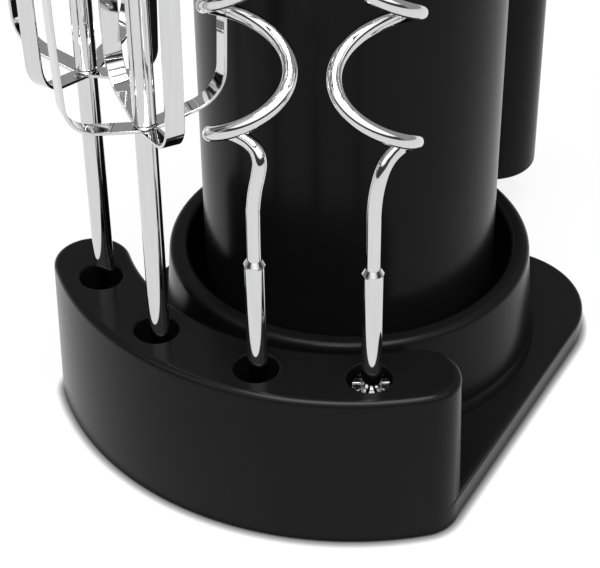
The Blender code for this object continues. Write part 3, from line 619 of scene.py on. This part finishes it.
def stand_outline(inset):
    """Plan of the base plate: a front arc, two front corners and two broad rear corners.

    The left front corner is the wider one and lies under the rack.
    """
    left_x, left_y, left_front, left_side = front_corner(LEFT_CORNER)
    right_x, right_y, right_front, right_side = front_corner(RIGHT_CORNER)
    rear, left, right = (r - inset for r in (REAR_CORNER, LEFT_CORNER, RIGHT_CORNER))
    turn, half, step = 2 * math.pi, math.pi, math.radians(1.8)
    outline = arc(REAR_CORNER_X, REAR_CORNER_Y, rear, right_side, half / 2, 24)
    outline += arc(-REAR_CORNER_X, REAR_CORNER_Y, rear, half / 2, half - left_side, 24)
    outline += arc(-left_x, left_y, left, half - left_side, half - left_front, 20)
    front = (half - left_front + step, turn + right_front - step)
    outline += arc(0, 0, FRONT_SKIN - inset, *front, 48)
    outline += arc(right_x, right_y, right, turn + right_front, turn + right_side, 12)
    return outline


def rack_outline(grow):
    """Plan of the rack: a band around the mixer's axis with full-round ends."""
    half = RACK_HALF_WIDTH + grow
    left, right = RACK_LEFT_END - math.pi / 2, RACK_RIGHT_END - math.pi / 2
    left_x, left_y = RACK_RADIUS * math.cos(left), RACK_RADIUS * math.sin(left)
    right_x, right_y = RACK_RADIUS * math.cos(right), RACK_RADIUS * math.sin(right)
    outline = arc(0, 0, RACK_RADIUS + half, left, right, 64)
    outline += arc(right_x, right_y, half, right, right + math.pi, 24)[1:]
    outline += arc(0, 0, RACK_RADIUS - half, right, left, 64)[1:]
    outline += arc(left_x, left_y, half, left + math.pi, left + 2 * math.pi, 24)[1:-1]
    return outline


def edge_layers(outline, top, fillet, grow=0.0):
    """The rounded top edge of a wall whose plan is outline(grow)."""
    layers = []
    steps = 6
    for i in range(steps + 1):
        a = math.pi / 2 * i / steps
        inward, down = fillet * (1 - math.cos(a)), fillet * (1 - math.sin(a))
        layers.append(at_height(outline(grow - inward), top - down))
    return layers


def build_base():
    """Base plate and rack, hollow from below, with a lined bore for each attachment."""
    chamfer = ((0.8 * MM, 0.0), (0.25 * MM, 0.25 * MM), (0.0, 0.8 * MM))
    plate = [at_height(stand_outline(inset), BASE_BOTTOM + rise) for inset, rise in chamfer]
    plate += edge_layers(lambda grow: stand_outline(-grow), PLATE_TOP, PLATE_FILLET)
    rack = [at_height(rack_outline(RACK_DRAFT), BASE_BOTTOM)]
    rack += edge_layers(rack_outline, RACK_TOP, RACK_FILLET, RACK_TOP_DRAFT)
    base = thing(loft("rack_and_plate", plate), AXIS)
    carve(base, "UNION", loft("rack", rack))

    plate_ends = (HOLLOW_BOTTOM, PLATE_TOP - STAND_WALL)
    rack_ends = (HOLLOW_BOTTOM, RACK_TOP - STAND_WALL)
    plate_hollow = [at_height(stand_outline(STAND_WALL), z) for z in plate_ends]
    rack_hollow = [at_height(rack_outline(-STAND_WALL), z) for z in rack_ends]
    carve(base, "DIFFERENCE", loft("plate_hollow", plate_hollow), loft("rack_hollow", rack_hollow))

    spots = [(RACK_RADIUS * math.sin(a), -RACK_RADIUS * math.cos(a), 0) for a in HOLE_ANGLES]
    hole, top = HOLE_RADIUS / MM, RACK_TOP / MM
    wall = [(0, top - 1, 0), (hole + 2, top - 1, 0), (hole + 2, 2.7, 0), (0, 2.7, 0)]
    mouth = [(0, top + 2, 0), (hole + 3, top + 2, 0), (hole + 3, top + 0.001, 0)]
    mouth += [(hole, top, 0.75), (hole, -2, 0), (0, -2, 0)]
    liner = lathe("liner", rounded(wall), 64)
    bore = lathe("bore", rounded(mouth), 64)
    carve(base, "UNION", repeated("liners", liner, spots))
    carve(base, "DIFFERENCE", repeated("bores", bore, spots))
    make(base, BLACK_GLOSS, "stand", "stand_base")


def build_stand():
    build_base()
    wall = [(50.6, 41.8, 1.7), (56.1, 41.8, 2.4), (58.3, 13.0, 3.0), (59.4, 9.6, 0)]
    wall += [(57.2, 9.6, 0), (54.0, 38.9, 0.8), (52.2, 38.9, 0.8), (49.2, 9.6, 0), (47.0, 9.6, 0)]
    make(turned("well_wall", wall, 144, AXIS), BLACK, "stand", "docking_collar")

    foot = [(0, 1.3, 0), (6.0, 1.3, 0), (6.0, 0.0, 0.45), (4.6, 0.0, 0.2), (4.3, 0.35, 0.2)]
    foot += [(0, 0.35, 0)]
    for number in CORNER_NUMBERS:
        spot = ground_spot(f"rubber_foot_{number}")
        pad = turned(f"foot_pad_{number}", foot, 48, spot)
        make(pad, RUBBER, "stand", f"rubber_foot_{number}")

    screw = [(0, 7.0, 0), (1.0, 7.0, 0.2), (1.3, 6.4, 0.2), (1.3, 1.9, 0.2), (2.9, 1.9, 0.1)]
    screw += [(2.9, 0.9, 0.5), (0, 0.9, 0)]
    cross = [((-1.7, -0.35, 0.5), (1.7, 0.35, 1.6)), ((-0.35, -1.7, 0.5), (0.35, 1.7, 1.6))]
    for number in CORNER_NUMBERS:
        spot = ground_spot(f"base_screw_{number}")
        head = turned(f"cross_screw_{number}", screw, 32, spot)
        carve(head, "DIFFERENCE", blocks("cross", cross))
        make(head, STEEL, "stand", f"base_screw_{number}")


def build_casing():
    """The round body with its openings and vents, and its two end caps."""
    x, z = SPINDLE_X / MM, SPINDLE_Z / MM
    wall = [(BODY_RADIUS, 203.75, 0.3), (BODY_RADIUS, 17.25, 0.3)]
    wall += [(BODY_BORE, 17.25, 0), (BODY_BORE, 203.75, 0)]
    body = turned("mixer_tube", wall, BODY_SIDES, AXIS)
    sockets = rods("socket_holes", [((s * x, -60, z), (s * x, -20, z), 8.8) for s in (-1, 1)])
    passages = rods("passages", [((0, 30, z), (0, 60, z), 9.0), ((0, 30, 62), (0, 60, 62), 5.3)])
    vents = blocks("vents", [((-9, 38, 84 + 7 * i), (9, 50, 86.4 + 7 * i)) for i in range(5)])
    carve(body, "DIFFERENCE", sockets, passages, vents)
    make(body, BLACK, "mixer", "body_tube")

    rear = [(0, 14.2, 0), (SPIGOT_BORE, 14.2, 0), (SPIGOT_BORE, 23.0, 0.4)]
    rear += [(SPIGOT_RADIUS, 23.0, 0.4), (SPIGOT_RADIUS, 17.0, 0), (BODY_RADIUS, 17.0, 0.3)]
    rear += [(BODY_RADIUS, 11.0, 1.6), (0, 11.0, 0)]
    foot = turned("foot_cap", rear, BODY_SIDES, AXIS)
    slots = []
    for i in range(4):
        for across in (-(13.2 + 6 * i), 13.2 + 6 * i):
            slots.append(((across - 1.2, -9, 9), (across + 1.2, 9, 16)))
    carve(foot, "DIFFERENCE", blocks("inlets", slots))
    make(foot, BLACK, "mixer", "rear_cap")

    front = [(0, 215.4, 0), (33.0, 215.4, 3.0), (35.0, 216.0, 1.2), (37.5, 216.0, 6.0)]
    front += [(BODY_RADIUS, 209.0, 6.0), (BODY_RADIUS, 204.0, 0.3), (SPIGOT_RADIUS, 204.0, 0)]
    front += [(SPIGOT_RADIUS, 198.0, 0.4), (SPIGOT_BORE, 198.0, 0.4), (SPIGOT_BORE, 207.0, 3.0)]
    front += [(34.0, 212.6, 3.0), (0, 212.6, 0)]
    make(turned("top_cap", front, BODY_SIDES, AXIS), BLACK, "mixer", "front_cap")


def build_sockets():
    """The two rings on the front and the spindles inside them, each with its keyway."""
    ring = [(8.5, 46.2, 0.8), (8.5, 28.0, 0.3), (5.9, 28.0, 0.3), (5.9, 45.2, 1.2)]
    ring += [(6.9, 46.2, 0.4)]
    wall = [(5.6, 44.0, 0.3), (5.6, -15.5, 0.3), (3.3, -15.5, 0), (3.3, 43.4, 0), (3.9, 44.0, 0)]
    key = [((-4.75, -0.85, 30), (4.75, 0.85, 50))]
    for side, sign in (("left", -1), ("right", 1)):
        where = AXIS + Vector((sign * SPINDLE_X, 0.0, SPINDLE_Z))
        mouth = turned(f"socket_ring_{side}", ring, 64, where, TOWARD_FRONT)
        make(mouth, GREY, "mixer", f"socket_collar_{side}")
        drive = turned(f"drive_tube_{side}", wall, 48, where, TOWARD_FRONT)
        carve(drive, "DIFFERENCE", blocks("key", key))
        make(drive, STEEL, f"drive_{side}", f"spindle_{side}")


def build_cord_outlet():
    """A rubber sleeve on the body's back, with three ribs."""
    sleeve = [(3.2, 39.0, 0), (5.0, 39.0, 0.3), (5.0, 45.4, 0), (7.6, 45.4, 0.5), (7.6, 48.4, 0.5)]
    for i in range(3):
        sleeve += [(6.3 - 0.3 * i, 48.6 + 1.6 * i, 0.2), (5.6 - 0.3 * i, 49.2 + 1.6 * i, 0.2)]
        sleeve += [(5.6 - 0.3 * i, 49.7 + 1.6 * i, 0.2), (6.1 - 0.3 * i, 50.1 + 1.6 * i, 0.2)]
    sleeve += [(5.0, 54.0, 0.4), (3.2, 54.0, 0.3)]
    where = AXIS + Vector((0.0, 0.0, middle("cord_grommet").z))
    outlet = turned("cord_outlet", sleeve[::-1], 48, where, TOWARD_BACK)
    make(outlet, RUBBER, "mixer", "cord_grommet")


def build_bridge():
    """The hollow arm from the body to the grip, cut to fit both."""

    def box(name, half_x, half_z, corner):
        outline = rounded_rectangle(half_x * MM, half_z * MM, corner * MM, 10)
        middle_z = SPINDLE_Z - MM
        return loft(name, [[(x, y * MM, middle_z + z) for x, z in outline] for y in BRIDGE_ENDS])

    bridge = thing(box("bridge", 14, 17, 6), AXIS)
    hollow = box("bridge_hollow", 11.4, 14.4, 3.6)
    grip_y = (GRIP.y - AXIS.y) / MM
    body_space = rods("body_space", [((0, 0, 150), (0, 0, 215), BODY_SPACE)], BODY_SIDES)
    grip_space = rods("grip_space", [((0, grip_y, 150), (0, grip_y, 215), GRIP_SPACE)], 96)
    carve(bridge, "DIFFERENCE", hollow, body_space, grip_space)
    make(bridge, BLACK, "mixer", "bridge_housing")


def build_grip():
    """The two halves of the grip with their openings, the plug at the foot and the speed scale."""
    z = SPINDLE_Z / MM
    turbo_z, slider_z = middle("turbo_button").z / MM, middle("speed_slider").z / MM
    skin = [(0, 209.0, 0), (7.0, 208.6, 12), (GRIP_RADIUS, 203.0, 9), (GRIP_RADIUS, 17.5, 1.4)]
    skin += [(11.3, 17.5, 0.3), (11.3, 20.3, 0), (GRIP_BORE, 20.3, 0), (GRIP_BORE, 200.0, 3)]
    skin += [(9.0, 205.6, 5), (0, 206.5, 0)]
    windows = [((-6.75, 0, z - 6.75), (6.75, 30, z + 6.75))]
    windows += [((-2.3, 0, slider_z - 3.4), (2.3, 30, slider_z + SLIDER_TRAVEL + 3.4))]
    for side, low, high in (("left", -GRIP_SPLIT, 40), ("right", -40, GRIP_SPLIT)):
        shell = turned(f"grip_shell_{side}", skin, 112, GRIP)
        half = blocks("half", [((low, -40, 0), (high, 40, 230))])
        tunnel = rods("tunnel", [((0, -22, z), (0, 0, z), 9.0)])
        turbo = rods("turbo_well", [((0, 0, turbo_z), (0, 30, turbo_z), 5.75)])
        carve(shell, "DIFFERENCE", half, tunnel, turbo, blocks("windows", windows))
        make(shell, BLACK, "mixer", f"handle_shell_{side}")

    plug = [(0, 22.5, 0), (13.7, 22.5, 0.4), (13.7, 20.9, 0), (11.0, 20.9, 0), (11.0, 17.8, 0.8)]
    plug += [(0, 17.8, 0)]
    make(turned("grip_plug", plug, 96, GRIP), BLACK, "mixer", "handle_end_plug")

    marks = []
    for i in range(SCALE_MARKS):
        z = slider_z + SLIDER_TRAVEL * i / (SCALE_MARKS - 1)
        length = 1.6 + 0.5 * i
        marks.append(((5.6, 15.2 - 0.11 * length, z - 0.35), (5.6 + length, 15.5, z + 0.35)))
    make(thing(blocks("speed_marks", marks, 0.08), GRIP), MARKS, "mixer")


def build_controls():
    """Eject button with its stem, speed slider and turbo button."""
    z = SPINDLE_Z / MM
    y = (AXIS.y + 119.5 * MM - GRIP.y) / MM
    button = thing(blocks("eject_cap", [((-6.5, 10, z - 6.5), (6.5, y, z + 6.5))], 1.4), GRIP)
    dish = rods("dish", [((0, y + 37.2, z - 9), (0, y + 37.2, z + 9), 38.0)], 256)
    carve(button, "DIFFERENCE", dish)
    stem = thing(rods("eject_stem", [((0, 30.3, z), (0, 110, z), 3.0)], 32), AXIS)
    carve(button, "UNION", stem)
    make(button, GREY, "ejector", "eject_button")

    z = middle("speed_slider").z / MM
    y = (AXIS.y - GRIP.y) / MM
    knob = [((-5.5, y + 114.9, z - 6), (5.5, y + 117.1, z + 6))]
    ribs = []
    for i in range(-2, 3):
        ribs.append(((-4.4, y + 116.4, z + 2.0 * i - 0.45), (4.4, y + 117.9, z + 2.0 * i + 0.45)))
    stem = [((-2.0, y + 105, z - 3), (2.0, y + 116, z + 3))]
    shoe = [((-6.0, y + 103.6, z - 5), (6.0, y + 107, z + 5))]
    slider = thing(blocks("speed_knob", knob, 0.7), GRIP)
    carve(slider, "UNION", blocks("ribs", ribs, 0.3))
    carve(slider, "UNION", blocks("stem", stem), blocks("shoe", shoe, 0.4))
    make(slider, GREY, "speed_control", "speed_slider")

    cap = [(0, 116.6, 0), (3.4, 116.6, 2.0), (4.6, 117.2, 0.5), (5.4, 117.0, 0.6)]
    cap += [(5.4, 108.0, 0.3), (2.5, 108.0, 0), (2.5, 104.2, 0.3), (0, 104.2, 0)]
    where = AXIS + Vector((0.0, 0.0, middle("turbo_button").z))
    turbo = turned("turbo_cap", cap, 64, where, TOWARD_BACK)
    make(turbo, GREY, "turbo_control", "turbo_button")


def cage_side(top):
    """One side of a beater loop as (radius, height), from the shaft out and up to its top."""
    start = 3.4 * MM
    bend_x = CAGE_WAIST - CAGE_BEND
    waist = HUB_HEIGHT + ARM_RISE + CAGE_BEND
    slope = math.atan2(ARM_RISE, bend_x - start)
    shoulder = (CAGE_RADIUS, top - 34 * MM)
    line = [(1.5 * MM, HUB_HEIGHT - 0.5 * MM), (start, HUB_HEIGHT)]
    line += arc(bend_x, waist, CAGE_BEND, slope - math.pi / 2, 0.0, 24)[:-1]
    above = (CAGE_RADIUS - 0.4 * MM, waist + 13 * MM)
    line += bezier((CAGE_WAIST, waist), above, (CAGE_RADIUS, top - 45 * MM), shoulder, 10)
    line += bezier(shoulder, (CAGE_RADIUS, top - 12 * MM), (13 * MM, top), (0.0, top), 26)
    return line


def strip_along(name, line, section):
    """A flat strip bent along a line of (x, height), with the section (width, thickness)."""
    layers = []
    for before, here, after in zip([line[0], *line], line, [*line[1:], line[-1]]):
        along = Vector((after[0] - before[0], after[1] - before[1])).normalized()
        out = Vector((-along.y, along.x))
        layers.append([(here[0] + out.x * t, w, here[1] + out.y * t) for w, t in section])
    return loft(name, layers)


def build_beater(number):
    body = f"beater_{number}"
    place = ground_spot(f"{body}_shaft")
    angle = BEATER_TURNS[number - 1]
    turn = (0.0, 0.0, angle)
    step = HUB_HEIGHT / MM
    core = [(0, 206.0, 0), (2.0, 206.0, 0.5), (2.0, step + 0.8, 0), (2.95, step + 0.4, 0.4)]
    core += [(2.95, 3.0, 0.9), (0, 3.0, 0)]
    shaft = turned(f"{body}_rod", core, 48, place, turn)
    carve(shaft, "UNION", blocks("lugs", LUGS, 0.3))
    make(shaft, CHROME, body, f"{body}_shaft")

    foot = step + 1.1
    wall = [(3.1, 199.0, 0.2), (3.1, foot, 0.3), (2.3, foot, 0), (2.3, 199.0, 0)]
    make(turned(f"{body}_tube", wall, 48, place, turn), CHROME, body, f"{body}_sleeve")

    section = rounded_rectangle(STRIP_WIDTH / 2, STRIP_THICKNESS / 2, STRIP_CORNER, 4)
    for letter, top, about in (("a", CAGE_TOP, 0.0), ("b", CAGE_TOP + LOOP_STEP, math.pi / 2)):
        side = cage_side(top)
        line = [(-r, z) for r, z in side] + [(0.0, top)] + [(r, z) for r, z in reversed(side)]
        strip = strip_along(f"{body}_strip_{letter}", line, section)
        make(thing(strip, place, (0.0, 0.0, angle + about)), CHROME, body, f"{body}_loop_{letter}")


# From the straight shank into the spiral, in millimetres. The left hook swings out first. Both are
# written as a left hook, and the right one is mirrored
LEFT_BEND = [(0, 0, 60.3), (0, 0, 98), (0.2, 0, 104), (0.8, 0, 109), (1.6, 0.1, 113.2)]
LEFT_BEND += [(2.1, 0.7, 117), (1.3, 2.1, 119.8), (-0.9, 3.7, 121.5), (-4.0, 4.5, 122.9)]
LEFT_BEND += [(-7.4, 3.9, 124.3)]
RIGHT_BEND = [(0, 0, 60.3), (0, 0, 98), (0, 0, 104), (-0.3, 0.1, 109), (-1.0, 0.4, 113.4)]
RIGHT_BEND += [(-2.1, 1.1, 117.2), (-3.6, 2.0, 119.9), (-5.4, 2.6, 121.9), (-7.3, 2.7, 123.5)]
RIGHT_BEND += [(-9.0, 1.9, 124.9)]
BENDS = {"left": (1.0, LEFT_BEND), "right": (-1.0, RIGHT_BEND)}


def hook_route(bend):
    """Up the shank, through the bend, round the spiral and in towards the axis at the tip."""
    route = smooth_line([Vector(p) * MM for p in bend], 6)
    steps = round(HOOK_TURNS * HOOK_TURN_STEPS)
    for i in range(steps + 1):
        angle = -math.pi + 2 * math.pi * HOOK_TURNS * i / steps
        z = HOOK_START_Z + HOOK_PITCH * HOOK_TURNS * i / steps
        route.append(Vector((HOOK_RADIUS * math.cos(angle), HOOK_RADIUS * math.sin(angle), z)))
    last = route[-1].z
    for i in range(1, TIP_LENGTH * TIP_STEPS + 1):
        part = i / TIP_STEPS
        angle = -math.pi + TIP_TURN * part
        radius = HOOK_RADIUS * (1 - TIP_CLOSING * part)
        z = last + TIP_RISE * part - TIP_SAG * part * part
        route.append(Vector((radius * math.cos(angle), radius * math.sin(angle), z)))
    return route


def build_hook(side):
    body = f"hook_{side}"
    place = ground_spot(f"{body}_shank")
    turn = (0.0, 0.0, HOOK_TURN)
    mirror, bend = BENDS[side]
    route = [(mirror * p.x, p.y, p.z) for p in hook_route(bend)]
    spiral = thing(tube(f"{body}_coil", route, HOOK_ROD, 24), place, turn)
    make(spiral, CHROME, body, f"{body}_spiral")

    shank = [(0, 60.0, 0), (1.95, 60.0, 0), (1.95, 87.4, 0), (2.1, 87.4, 0), (3.0, 85.8, 0.2)]
    shank += [(2.85, 85.3, 0.3), (2.85, 3.0, 0.8), (0, 3.0, 0)]
    rod = turned(f"{body}_stem", shank, 48, place, turn)
    carve(rod, "UNION", blocks("lugs", LUGS, 0.3))
    make(rod, CHROME, body, f"{body}_shank")


def build_crown():
    """The toothed ring on the right hook's shank, its teeth left between notches."""
    place = ground_spot("hook_right_shank")
    ring = [(5.2, 48.3, 0.25), (5.2, 42.0, 0.4), (3.0, 42.0, 0), (3.0, 48.3, 0.25)]
    crown = turned("toothed_ring", ring, 80, place, (0.0, 0.0, HOOK_TURN))
    notches = []
    for i in range(CROWN_NOTCHES):
        about = (0.0, 0.0, HOOK_TURN + math.pi * i / CROWN_NOTCHES)
        notch = blocks("notch", [((-7, -0.5, 46.6), (7, 0.5, 50.5))], 0.25)
        notches.append(thing(notch, place, about))
    carve(crown, "DIFFERENCE", *notches)
    make(crown, CHROME, "hook_right", "hook_crown")


INSIDE = {
    "well_mat": RUBBER,
    "base_cover": BLACK,
    "switch_board": BOARD,
    "stator_core": SHEETS,
    "armature_core": SHEETS,
    "field_coil_left": COPPER,
    "field_coil_right": COPPER,
    "winding_head_lower": COPPER,
    "winding_head_upper": COPPER,
    "commutator": BARS,
    "motor_bracket": GREY,
    "gear_frame": GREY,
    "carbon_brush_left": CARBON,
    "carbon_brush_right": CARBON,
    "bearing_lower": BRONZE,
    "bearing_upper": BRONZE,
    "worm_wheel_left": NYLON,
    "worm_wheel_right": NYLON,
    "cooling_fan": NYLON,
    "rotor_shaft": STEEL,
    "ejector_yoke": STEEL,
}


def build_inside():
    """The works keep their CAD shapes and get their finishes."""
    for name, finish in INSIDE.items():
        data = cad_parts[name].data
        data.materials.clear()
        data.materials.append(finish)


def build_spring():
    """The ejector's return spring, which the ejector's plate closes up as the button goes in; here
    it is one fixed coil.
    """
    low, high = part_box("eject_spring")
    centre = (low + high) / 2
    radius = (high.z - low.z) / 2 - SPRING_WIRE
    start, length = low.y + SPRING_WIRE, high.y - low.y - 2 * SPRING_WIRE
    steps = 24
    coil = []
    for i in range(SPRING_TURNS * steps + 1):
        angle = 2 * math.pi * i / steps
        x, z = centre.x + radius * math.cos(angle), centre.z + radius * math.sin(angle)
        coil.append(Vector((x, start + length * i / (SPRING_TURNS * steps), z)))
    spring = thing(tube("return_spring", coil, SPRING_WIRE, 12))
    make(spring, STEEL, "mixer", "eject_spring")
    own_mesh(spring)


build_stand()
build_casing()
build_sockets()
build_cord_outlet()
build_bridge()
build_grip()
build_controls()
for number in (1, 2):
    build_beater(number)
for side in ("left", "right"):
    build_hook(side)
build_crown()
build_inside()
build_spring()


# ---------------------------------------------------------------- studio

FLOOR_SIZE = 6.0
PAPER = (0.08, 0.08, 0.08)
PAPER_GLOW = 0.86
# Reach and sharpness of the painted contact shadow on the floor
PAINTED_SHADOW_REACH = 2.8 * MM
PAINTED_SHADOW_POWER = 4.0

# The bright panel faces PANEL_SIDE, fades in over PANEL_START round the room, and goes from dark to
# bright over the heights of PANEL_EDGE
ROOM_GLOW = 0.38
PANEL_SIDE = (0.53, -0.85, 0.0)
PANEL_START = (-0.05, 0.2)
PANEL_EDGE = (0.30, 0.40)
PANEL_GLOW = (0.06, 1.7)

LAMP_SPOT = (0.25, -0.45, 1.5)
LAMP_SIZE = (1.2, 1.1)
LAMP_POWER = 47.0

CAMERA_SPOT = (0.2373, AXIS.y - 0.4056, 0.3690)
CAMERA_LOOK = (-0.4293, 0.681, -0.5933)
CAMERA_ROLL = math.radians(-0.74)
CAMERA_LENS = 109.67
SENSOR_WIDTH = 36.0


def build_floor():
    """White paper that glows by itself, with a painted contact shadow: its glow darkens close under
    the stand.
    """

    def build(bm):
        bmesh.ops.create_grid(bm, x_segments=1, y_segments=1, size=FLOOR_SIZE / 2)

    floor = thing(mesh_of("studio_floor", build))
    made, tree, shader = node_material("white_paper", PAPER, 0.9, Specular_IOR_Level=0.0)
    shader.inputs["Emission Color"].default_value = (1.0, 1.0, 1.0, 1.0)
    # Painted contact shadow: ambient occlusion dims the paper's glow close under the stand
    contact = add_node(tree, "ShaderNodeAmbientOcclusion", {"Distance": PAINTED_SHADOW_REACH})
    inputs = {0: contact.outputs["AO"], 1: PAINTED_SHADOW_POWER}
    painted_shadow = add_node(tree, "ShaderNodeMath", inputs, operation="POWER")
    inputs = {0: painted_shadow.outputs["Value"], 1: PAPER_GLOW}
    glow = add_node(tree, "ShaderNodeMath", inputs, operation="MULTIPLY")
    tree.links.new(glow.outputs["Value"], shader.inputs["Emission Strength"])
    floor.data.materials.append(made)


def build_world():
    """A grey room. On the viewer's side a broad bright panel starts above a dark skirting."""
    world = bpy.data.worlds.new("studio")
    bpy.context.scene.world = world
    world.use_nodes = True
    tree = world.node_tree
    toward = add_node(tree, "ShaderNodeTexCoord").outputs["Generated"]
    height = add_node(tree, "ShaderNodeSeparateXYZ", {"Vector": toward}).outputs["Z"]
    inputs = {0: toward, 1: PANEL_SIDE}
    side = add_node(tree, "ShaderNodeVectorMath", inputs, operation="DOT_PRODUCT")
    panel = ramp(tree, height, PANEL_EDGE, PANEL_GLOW)
    share = ramp(tree, side.outputs["Value"], PANEL_START, (0.0, 1.0))
    mixed = add_node(tree, "ShaderNodeMix", {"Factor": share, "A": ROOM_GLOW, "B": panel})
    background = tree.nodes["Background"]
    background.inputs["Color"].default_value = (1.0, 1.0, 1.0, 1.0)
    tree.links.new(mixed.outputs["Result"], background.inputs["Strength"])


def build_light():
    """One broad lamp high on the viewer's side, turned towards the object's foot."""
    lamp = bpy.data.lights.new("overhead", "AREA")
    lamp.shape = "RECTANGLE"
    lamp.size, lamp.size_y = LAMP_SIZE
    lamp.energy = LAMP_POWER
    made = thing(lamp, LAMP_SPOT)
    made.rotation_euler = (-Vector(LAMP_SPOT)).to_track_quat("-Z", "Y").to_euler()


def build_camera():
    """The photo's own viewpoint, as fitted to the stand and the body."""
    lens = bpy.data.cameras.new("camera")
    lens.sensor_width = SENSOR_WIDTH
    lens.lens = CAMERA_LENS
    made = thing(lens)
    look = Vector(CAMERA_LOOK).to_track_quat("-Z", "Y").to_matrix().to_4x4()
    roll = Matrix.Rotation(CAMERA_ROLL, 4, "Z")
    made.matrix_world = Matrix.Translation(CAMERA_SPOT) @ look @ roll
    bpy.context.scene.camera = made


build_floor()
build_world()
build_camera()
build_light()
bpy.context.scene.view_settings.view_transform = "Standard"
